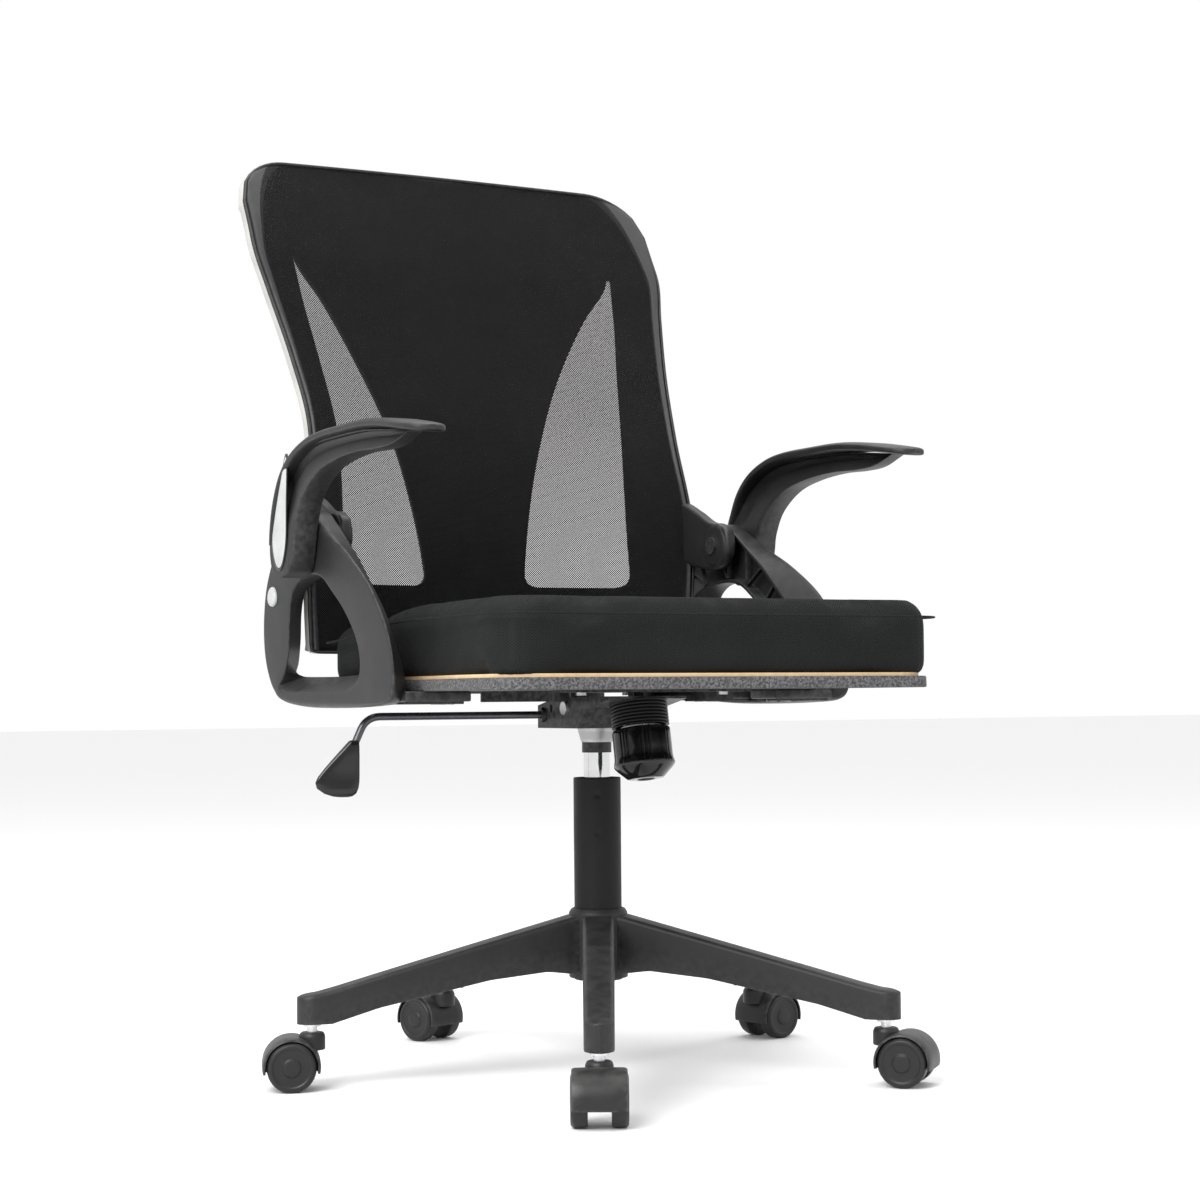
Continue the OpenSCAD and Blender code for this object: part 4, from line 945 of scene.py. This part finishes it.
class MakeBack(ChairPiece, bpy.types.Operator):
    """The back: a moulded shell with two windows, the stretched net in front of it, and its rim"""
    bl_idname = "chair.make_back"
    bl_label = "Back"
    # share of the height, y, half width share, shell depth, window's inner edge, window's outer edge
    rows = np.array([[0.0, 213, 0.904, 70, 58, 184], [0.09, 208, 0.92, 86, 61, 186], [0.26, 207, 0.923, 100,
        73, 184],
                     [0.44, 229, 0.889, 97, 99, 186], [0.57, 262, 0.916, 86, 130, 195],
                     [0.71, 298, 0.969, 68, 174, 206], [0.79, 317, 1, 58, 205, 210], [0.85, 336, 1, 46, 206,
                         211],
                     [0.92, 359, 1, 34, 206, 211], [1.0, 386, 1, 24, 206, 211]])
    top_corner, low_corner, crown, flatness = 62, 35, 8, 2.8
    window_low, window_high, window_corner = 0.133, 0.802, 16.0
    shell_wall, net_wall = 0.005, 0.0009

    def row(self, v, i):
        """Smooth value between the rows: a cubic on each span with the mean slope of its neighbours."""
        x, y = self.rows[:, 0], self.rows[:, i]
        m = np.gradient(y, x)
        k = np.clip(np.searchsorted(x, v, side="right") - 1, 0, len(x) - 2)
        h = x[k + 1] - x[k]
        t = (v - x[k]) / h
        return ((2 * t**3 - 3 * t**2 + 1) * y[k] + (t**3 - 2 * t**2 + t) * h * m[k]
                + (-2 * t**3 + 3 * t**2) * y[k + 1] + (t**3 - t**2) * h * m[k + 1])

    def half(self, v):
        """Half the width at a share of the height."""
        return self.row(v, 2) * self.s.half

    def height(self, x, v):
        """Height at x, v: from the lower edge to the top edge, whose corners drop as quarter circles."""
        drop = lambda r: r - np.sqrt(np.maximum(0, r * r - np.maximum(0, np.abs(x) - self.s.half + r) ** 2))
        u = np.abs(x) / self.half(v)
        top = self.s.height - self.crown * u * u - 0.85 * drop(self.top_corner)
        low = self.s.low + drop(self.low_corner)
        return PLATE_Z + low + v * (top - low)

    def place(self, x, v):
        """Where x, v lies: its height, the height's share h of the back, and x stretched to the width at h."""
        z = self.height(x, v)
        h = np.clip((z - PLATE_Z - self.s.low) / (self.s.height - self.s.low), 0, 1)
        return x / self.half(v) * self.half(h), h, z

    def net_y(self, x, h):
        """The net's y: it bellies back by sag * (1 - u^2), where u is the share of the half width."""
        return self.row(h, 1) + self.s.sag * (1 - (x / self.half(h)) ** 2)

    def shell_y(self, x, h):
        """The shell's y: it stands behind the rim by depth * (1 - u^2.8)."""
        return self.row(h, 1) + self.row(h, 3) * (1 - np.abs(x / self.half(h)) ** self.flatness)

    def shell(self):
        """A grid whose columns follow the windows' edges; the cells in a window are left out."""
        lo, hi, r = self.window_low, self.window_high, self.window_corner
        v = np.concatenate([np.linspace(0, lo, 10)[:-1], lo + (hi - lo) * np.linspace(0, 1, 70) ** 1.25,
                            np.linspace(hi, 1, 20)[1:]])[:, None]
        a, b = self.row(v, 4), self.row(v, 5)
        t = np.clip((v - lo) * (self.s.height - self.s.low) / r, 0, 1)
        tuck = np.where((v >= lo - 1e-9), r * (1 - np.sqrt(1 - (1 - t) ** 2)), r) * (v < 0.4)
        a, b = a + tuck, b - tuck
        w = self.half(v)
        k = lambda p, q, n: p + (q - p) * np.linspace(0, 1, n)[None]
        cols = np.hstack([k(w, b, 8), k(b, a, 8)[:, 1:], k(a, 0 * a, 11)[:, 1:]])
        x = np.hstack([cols, -cols[:, -2::-1]])
        x, h, z = self.place(x, v)
        y = self.shell_y(x, h)
        p, f = patch(np.stack([x, y, z], -1), (False, False))
        n, m = x.shape
        cell = np.arange((n - 1) * (m - 1)).reshape(n - 1, m - 1)
        i, j = cell // (m - 1), cell % (m - 1)
        j = np.minimum(j, m - 2 - j)
        vi = (v[i, 0] + v[i + 1, 0]) / 2
        keep = ~((vi > lo) & (vi < hi) & (j >= 7) & (j < 14))
        return p, [f[q] for q in cell[keep]]

    def make(self, context):
        self.s = sizes("chair_back")
        p, f = self.shell()
        shell = build("back_shell", [(p, [q[::-1] for q in f])], "back", "base_plastic", ["back_frame"],
                      closed=False)
        modifier(shell, "wall", "SOLIDIFY", thickness=self.shell_wall, offset=-1, use_even_offset=True)
        modifier(shell, "edges", "BEVEL", width=0.0014, segments=2, limit_method="ANGLE",
            angle_limit=radians(48))
        v = np.linspace(0, 1, 110)[:, None]
        u = np.sin(np.linspace(-1, 1, 91) * pi / 2)[None] * 0.35 + np.linspace(-1, 1, 91)[None] * 0.65
        x, h, z = self.place(u * self.half(v), v)
        y = self.net_y(x, h) - 1.2
        p, f = patch(np.stack([x, y, z], -1), (False, False))
        net = build("back_net", [(p, [q[::-1] for q in f])], "back", "back_fabric", ["back_mesh"],
                    closed=False)
        self.lay_out(net, y, z)
        modifier(net, "cloth", "SOLIDIFY", thickness=self.net_wall, offset=0)
        self.rim()

    def run(self, y, z):
        """Length in metres along the net's middle column, from its lower edge."""
        middle = y.shape[1] // 2
        return np.concatenate([[0], np.cumsum(np.hypot(np.diff(y[:, middle]), np.diff(z[:, middle])))]) * MM

    def lay_out(self, net, y, z):
        """UV in metres: u is x, v is the length along the middle of the net."""
        co = np.zeros(len(net.data.vertices) * 3)
        net.data.vertices.foreach_get("co", co)
        co = co.reshape(-1, 3)
        where = np.column_stack([co[:, 0], np.interp(co[:, 2], z[:, z.shape[1] // 2] * MM, self.run(y, z))])
        layer = net.data.uv_layers.new(name="cloth")
        index = np.zeros(len(net.data.loops), int)
        net.data.loops.foreach_get("vertex_index", index)
        layer.data.foreach_set("uv", where[index].ravel())

    def area(self, x, y, z):
        """The grid's area, as the sum of its cells' cross products."""
        p = np.stack([x, y, z], -1)
        a, b = p[1:, :-1] - p[:-1, :-1], p[:-1, 1:] - p[:-1, :-1]
        return float(np.linalg.norm(np.cross(a, b), axis=2).sum())

    def rim(self):
        """A flat bead carried round the net's edge, as deep as the rim at the sides and thin above and below."""
        t = np.linspace(0.0, 1, 120)
        side = np.column_stack([self.half(t), t])
        across = np.linspace(1, -1, 70)[1:-1]
        top = np.column_stack([across * self.half(np.array([1.0])), np.ones(68)])
        low = np.column_stack([-across * self.half(np.array([0.0])), np.zeros(68)])
        path = np.vstack([side, top, side[::-1] * [-1, 1], low])
        x, h, z = self.place(path[:, 0], path[:, 1])
        y = self.net_y(x, h)
        p = np.column_stack([x, y, z])
        tangent = np.roll(p, -1, 0) - np.roll(p, 1, 0)
        tangent /= np.linalg.norm(tangent, axis=1)[:, None]
        back = np.array([0, 1.0, 0])
        out = np.cross(tangent, back)
        out /= np.linalg.norm(out, axis=1)[:, None]
        rear = np.cross(out, tangent)
        # The second bead, behind the net's edge, is painted light grey: a painted highlight along the back's edge
        for name, lo, hi, grow, slot, kind in (
                ("back_binding", -2.6, 2.0, 0.2, "base_plastic", "base_plastic"),
                ("back_rim_painted_highlight", 1.4, self.s.rim_depth, 0.5, "silver_plastic", "rim_painted_highlight")):
            a = np.linspace(0, 2 * pi, 16, endpoint=False)
            c, q = np.cos(a), np.sin(a)
            thick = 1.7 * np.sign(c) * np.abs(c) ** 0.6 + grow - 1.5
            deep = (lo + hi) / 2 + (hi - lo) / 2 * np.sign(q) * np.abs(q) ** 0.6
            pts = p[:, None] + thick[None, :, None] * out[:, None] + deep[None, :, None] * rear[:, None]
            build(name, [patch(pts, (True, True))], "back", slot, paint=finish(kind))


class MakeEars(ChairPiece, bpy.types.Operator):
    """The ears that carry the back: a rounded plate and its hub"""
    bl_idname = "chair.make_ears"
    bl_label = "Back ears"
    outline = ((120, 191), (150, 198), (180, 212), (216, 224), (224, 200), (222, 166), (200, 152), (170, 144),
               (136, 143), (112, 156), (110, 180))

    hinge_y, hinge_z, plate_t = 136, 169, 12.4

    def make(self, context):
        s = sizes("chair_arms")
        x1 = s.bracket_x - 1.2
        line = even(spline(self.outline, 500, True), 120, True)
        hub = rounded([(0, 18), (10, 18), (14, 16.6), (22, 15.6), (26.2, 12), (26.4, 4), (25, 0), (0, 0)],
            3.4, 6)
        p, f = lathe(hub, 80)
        ring = (np.column_stack([x1 - p[:, 2], self.hinge_y + p[:, 0], self.hinge_z + p[:, 1]]), f)
        plate = slab(line, x1 - 1.6 - self.plate_t, x1 - 1.6, 4.5, 2, 6)
        both = [q for side in SIDES.values() for q in mirrored(raised([plate, ring]), side)]
        build("ears", both, "back", "base_plastic", ["back_ears"], angle=45)


class MakeSeat(ChairPiece, bpy.types.Operator):
    """The cushion, filled by a short cloth simulation, its seams, and the felt cover under it"""
    bl_idname = "chair.make_seat"
    bl_label = "Seat"
    # heights of the cushion's foot and top, of the seam below the top, and of the low seam
    foot, top, seam_drop, low_seam = 412.2, 489.0, 17.0, 421.0
    voxel, travel, frames = 0.0058, 0.014, 20

    def plan(self, inset, corner=42, count=360):
        """The cushion's outline from above: wider in front, with round corners."""
        s = self.s
        f, r = s.front_half - inset, s.rear_half - inset
        y0, y1 = -s.front + inset, s.rear - inset
        a = np.radians(np.linspace(0, 90, 9))
        arc = lambda x, y, start: np.column_stack([x + corner * np.cos(a + radians(start)),
                                                   y + corner * np.sin(a + radians(start))])
        line = np.vstack([arc(-f + corner, y0 + corner, 180), arc(f - corner, y0 + corner, 270),
                          [[f - 0.5, -175], [(f + r) / 2, -115], [r, -60], [r, 40]],
                          arc(r - corner, y1 - corner, 0), arc(-r + corner, y1 - corner, 90),
                          [[-r, 40], [-r, -60], [-(f + r) / 2, -115], [-f + 0.5, -175]]])
        return even(line, count, True)

    def fall(self, y):
        """How much lower the top is at y: a smooth step of rear_drop towards the rear."""
        t = np.clip((y + 60) / 240, 0, 1)
        return self.s.rear_drop * t * t * (3 - 2 * t)

    def pad(self):
        """Rings of the plan at rising heights: the inset and height follow quarter ellipses at both edges."""
        low, high = 413.0, 486.0
        a = np.radians(np.linspace(0, 90, 8))
        rows = [(60.0, low), (26.0, low)]
        rows += [(4 + 9 * (1 - sin(t)), low + 9 * (1 - cos(t))) for t in a]
        rows += [(4.0, low + 26), (4.0, low + 44)]
        rows += [(4 + 17 * (1 - cos(t)), high - 22 + 22 * sin(t)) for t in a]
        rows += [(40.0, high + 0.5), (90.0, high + 1)]
        rings = []
        for inset, z in rows:
            line = self.plan(inset, max(42 - inset * 0.5, 12))
            lift = (z - low) / (high - low)
            rings.append(np.column_stack([line, z - lift * self.fall(line[:, 1])]))
        return patch(np.array(rings), caps=True)

    def fill(self, obj):
        """Voxel remesh, a short pressure simulation with its travel capped, then one subdivision."""
        scene = bpy.context.scene
        bpy.context.view_layer.objects.active = obj
        modifier(obj, "voxels", "REMESH", mode="VOXEL", voxel_size=self.voxel, use_smooth_shade=True)
        self.bake(obj)
        rest = self.points(obj)
        cloth = modifier(obj, "filling", "CLOTH")
        cloth.settings.quality = 5
        cloth.settings.mass = 0.3
        cloth.settings.tension_stiffness = cloth.settings.compression_stiffness = 22
        cloth.settings.bending_stiffness = 2
        cloth.settings.use_pressure = True
        cloth.settings.uniform_pressure_force = scene.chair_seat.pressure
        cloth.settings.effector_weights.gravity = 0
        cloth.point_cache.frame_start, cloth.point_cache.frame_end = 1, self.frames
        for f in range(1, self.frames + 1):
            scene.frame_set(f)
        self.bake(obj)
        scene.frame_set(1)
        now = self.points(obj)
        step = now - rest
        far = np.linalg.norm(step, axis=1)
        now = rest + step * (np.minimum(far, self.travel) / np.maximum(far, 1e-9))[:, None]
        self.set_points(obj, now)
        modifier(obj, "smooth", "SUBSURF", levels=1, render_levels=1)
        self.bake(obj)

    def bake(self, obj):
        """Puts the modifiers' result into the mesh."""
        dg = bpy.context.evaluated_depsgraph_get()
        mesh = bpy.data.meshes.new_from_object(obj.evaluated_get(dg))
        obj.modifiers.clear()
        obj.data = mesh

    def points(self, obj):
        """The mesh's points as an array, in metres."""
        co = np.zeros(len(obj.data.vertices) * 3)
        obj.data.vertices.foreach_get("co", co)
        return co.reshape(-1, 3)

    def set_points(self, obj, p):
        """Moves the mesh's points."""
        obj.data.vertices.foreach_set("co", np.ascontiguousarray(p).ravel())
        obj.data.update()

    def sew(self, obj):
        """Keeps the pad in its box and on its board, and sinks the seams: a groove is exp(-(gap / width)^2)."""
        p = self.points(obj) / MM
        edge = self.plan(0.0, count=720)
        gap = np.array([np.min(np.hypot(edge[:, 0] - x, edge[:, 1] - y)) for x, y in p[:, :2]])
        gap_in = self.gap_in(p, edge, gap)
        over = np.clip(-gap_in, 0, None)
        middle = np.array([0.0, -45.0])
        out = p[:, :2] - middle
        out /= np.linalg.norm(out, axis=1)[:, None]
        p[:, :2] -= out * over[:, None]
        top = self.top - self.fall(p[:, 1])
        p[:, 2] = np.minimum(np.maximum(p[:, 2], self.foot), top + 0.3)
        seam_z = top - self.seam_drop
        side = np.clip(1 - np.abs(gap_in - 3) / 16, 0, 1)
        groove = np.exp(-((p[:, 2] - seam_z) / 1.5) ** 2) * side * 1.8
        low = np.exp(-((p[:, 2] - self.low_seam) / 1.6) ** 2) * side * 1.2
        corner = self.s.front_half - 30
        pleat = np.exp(-((np.abs(p[:, 0]) - corner) / 1.6) ** 2) * (p[:, 1] < -self.s.front + 30) * 1.5
        pleat *= (p[:, 2] < seam_z) * side
        p[:, :2] -= out * (groove + low + pleat)[:, None]
        self.set_points(obj, p * MM)

    def gap_in(self, p, edge, gap):
        """Distance inside the plan outline, negative outside it, by the side of the nearest edge line."""
        nxt = np.roll(edge, -1, 0)
        out = np.empty(len(p))
        for lo in range(0, len(p), 4000):
            q = p[lo:lo + 4000, :2]
            near = np.argmin((q[:, :1] - edge[None, :, 0]) ** 2 + (q[:, 1:2] - edge[None, :, 1]) ** 2, axis=1)
            e = nxt[near] - edge[near]
            d = q - edge[near]
            out[lo:lo + 4000] = np.sign(e[:, 0] * d[:, 1] - e[:, 1] * d[:, 0])
        return gap * out

    def make(self, context):
        self.s = sizes("chair_seat")
        self.s.front_half -= 1.0
        self.s.front -= 1.0
        pad = build("cushion", [self.pad()], "seat", "seat_fabric", ["seat_cushion"])
        self.fill(pad)
        self.sew(pad)
        dress(pad, finish("seat_fabric"), 180)
        line = self.plan(3.1, 40, 420)
        cord = np.column_stack([line, self.top - self.fall(line[:, 1]) - self.seam_drop])
        build("seam_cord", [tube(cord, 1.0, 8, True)], "seat", "seat_fabric")
        outer = self.plan(11, 34, 240)
        a = np.linspace(0, pi / 2, 6)
        rows = [(3.4, 404.8), (3.4, 412.4), (2.6, 413.1), (1.2, 413.0), (0.2, 411.8), (0, 406), (0, 403.4)]
        rows += [(2.2 * (1 - cos(t)), 402.6 - 1.1 * sin(t)) for t in a]
        rows += [(d, 401.5) for d in (14, 30, 60, 110)]
        rings = [np.column_stack([offset(outer, i), np.full(240, z)]) for i, z in [(60, 404.6)] + rows]
        build("felt_cover", [patch(np.array(rings), caps=True)], "seat", "felt", ["underside_cover"])


class DressFrame(ChairPiece, bpy.types.Operator):
    """Gives every frame node that stays in view its finish"""
    bl_idname = "chair.dress_frame"
    bl_label = "Frame finishes"
    finishes = {
        "caster_stems": "zinc_steel", "column_bushing": "base_plastic", "piston_rod": "dark_steel",
        "thrust_bearing": "zinc_steel", "gas_cylinder": "chrome", "column_collar": "base_plastic",
        "taper_socket": "taper_grey", "mechanism_housing": "mechanism_paint", "tilt_axle": "zinc_steel",
        "release_pin": "zinc_steel", "lever_bush": "base_plastic", "seat_plate": "mechanism_paint",
        "seat_board": "plywood", "plate_bolts": "zinc_steel", "bracket_bolts": "zinc_steel",
        "hinge_pins": "dark_steel", "button_springs": "dark_steel", "tension_bolt": "dark_steel",
        "thrust_washer": "zinc_steel", "back_screws": "zinc_steel",
    }

    def make(self, context):
        for name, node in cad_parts.items():
            if node.hide_render:
                continue
            kind = self.finishes.get(name) or ("dark_steel" if name.startswith("caster_axle") else None)
            if kind is None:
                raise RuntimeError(f"no finish is given for {name}")
            node.data.materials.clear()
            node.data.materials.append(finish(kind))


class MakeStage(ChairPiece, bpy.types.Operator):
    """The pale floor, the soft lights and the camera"""
    bl_idname = "chair.make_stage"
    bl_label = "Stage"
    floor_half, floor_white = 30, 0.88
    azimuth, pitch, roll, distance, eye_height = -0.49725, 0.04023, -0.00856, 2.5637, 0.394

    def light(self, name, at, aim, size, power):
        """A rectangular area light at a place, turned to its aim."""
        data = bpy.data.lights.new(name, "AREA")
        data.shape, data.size, data.size_y, data.energy = "RECTANGLE", size[0], size[1], power
        obj = bpy.data.objects.new(name, data)
        obj.location = at
        obj.rotation_mode = "QUATERNION"
        obj.rotation_quaternion = (Matrix.Translation(aim).translation - obj.location).to_track_quat("-Z",
            "Y")
        bpy.context.scene.collection.objects.link(obj)

    def make(self, context):
        scene = context.scene
        world = bpy.data.worlds.new("studio")
        world.use_nodes = True
        world.node_tree.nodes["Background"].inputs[0].default_value = (1, 1, 1, 1)
        world.node_tree.nodes["Background"].inputs[1].default_value = 1.0
        scene.world = world
        scene.view_settings.view_transform = "Standard"
        mesh = bpy.data.meshes.new("floor")
        f = self.floor_half
        mesh.from_pydata([(-f, -f, 0), (f, -f, 0), (f, f, 0), (-f, f, 0)], [], [(0, 1, 2, 3)])
        floor = bpy.data.objects.new("floor", mesh)
        scene.collection.objects.link(floor)
        pale, _, shader, _ = blank("pale floor")
        shader.inputs["Base Color"].default_value = rgb([self.floor_white] * 3)
        shader.inputs["Roughness"].default_value = 0.6
        floor.data.materials.append(pale)
        self.light("key", (-2.6, -1.6, 2.6), (0, 0, 0.6), (2.2, 2.2), 170)
        self.light("top", (0.3, 0.2, 3.0), (0, 0, 0.5), (2.5, 2.5), 60)
        self.light("fill", (2.8, -2.2, 1.4), (0, 0, 0.6), (2.0, 2.0), 10)
        camera = bpy.data.cameras.new("camera")
        camera.lens, camera.sensor_width, camera.shift_x = 72.6, 36.0, 0.0038
        camera.clip_start, camera.clip_end = 0.05, 100
        obj = bpy.data.objects.new("camera", camera)
        azimuth, pitch, roll = self.azimuth, self.pitch, self.roll
        back = np.array([sin(azimuth), -cos(azimuth), 0])
        ahead = -back * cos(pitch) + np.array([0, 0, sin(pitch)])
        right = np.array([cos(azimuth), sin(azimuth), 0])
        up = np.cross(right, ahead)
        right, up = right * cos(roll) + up * sin(roll), -right * sin(roll) + up * cos(roll)
        place = np.eye(4)
        place[:3, 0], place[:3, 1], place[:3, 2] = right, up, -ahead
        place[:3, 3] = back * self.distance + [0, 0, self.eye_height]
        obj.matrix_world = Matrix(place.tolist())
        scene.collection.objects.link(obj)
        scene.camera = obj


MAKERS = (MakeStage, MakeBase, MakeCasters, MakeColumn, MakeKnob, MakeLever, MakeBrackets, MakeArms,
    MakeButtons,
          MakeBack, MakeEars, MakeSeat, DressFrame)


class ChairPanel(bpy.types.Panel):
    """Lists the makers and the sizes they read"""
    bl_idname = "VIEW3D_PT_chair"
    bl_label = "Swivel chair"
    bl_space_type = "VIEW_3D"
    bl_region_type = "UI"
    bl_category = "Chair"

    def draw(self, context):
        for maker in MAKERS:
            self.layout.operator(maker.bl_idname)
        for name, kind in SETTINGS.items():
            column = self.layout.column()
            for key in kind.__annotations__:
                column.prop(getattr(context.scene, name), key)


CLASSES = tuple(SETTINGS.values()) + MAKERS + (ChairPanel,)


def register():
    for c in CLASSES:
        bpy.utils.register_class(c)
    for name, kind in SETTINGS.items():
        setattr(bpy.types.Scene, name, bpy.props.PointerProperty(type=kind))


def unregister():
    for name in SETTINGS:
        delattr(bpy.types.Scene, name)
    for c in reversed(CLASSES):
        bpy.utils.unregister_class(c)


def main():
    """Registers the classes and makes every piece in order."""
    register()
    for maker in MAKERS:
        getattr(bpy.ops.chair, maker.bl_idname.split(".")[1])()


if __name__ == "__main__":
    main()
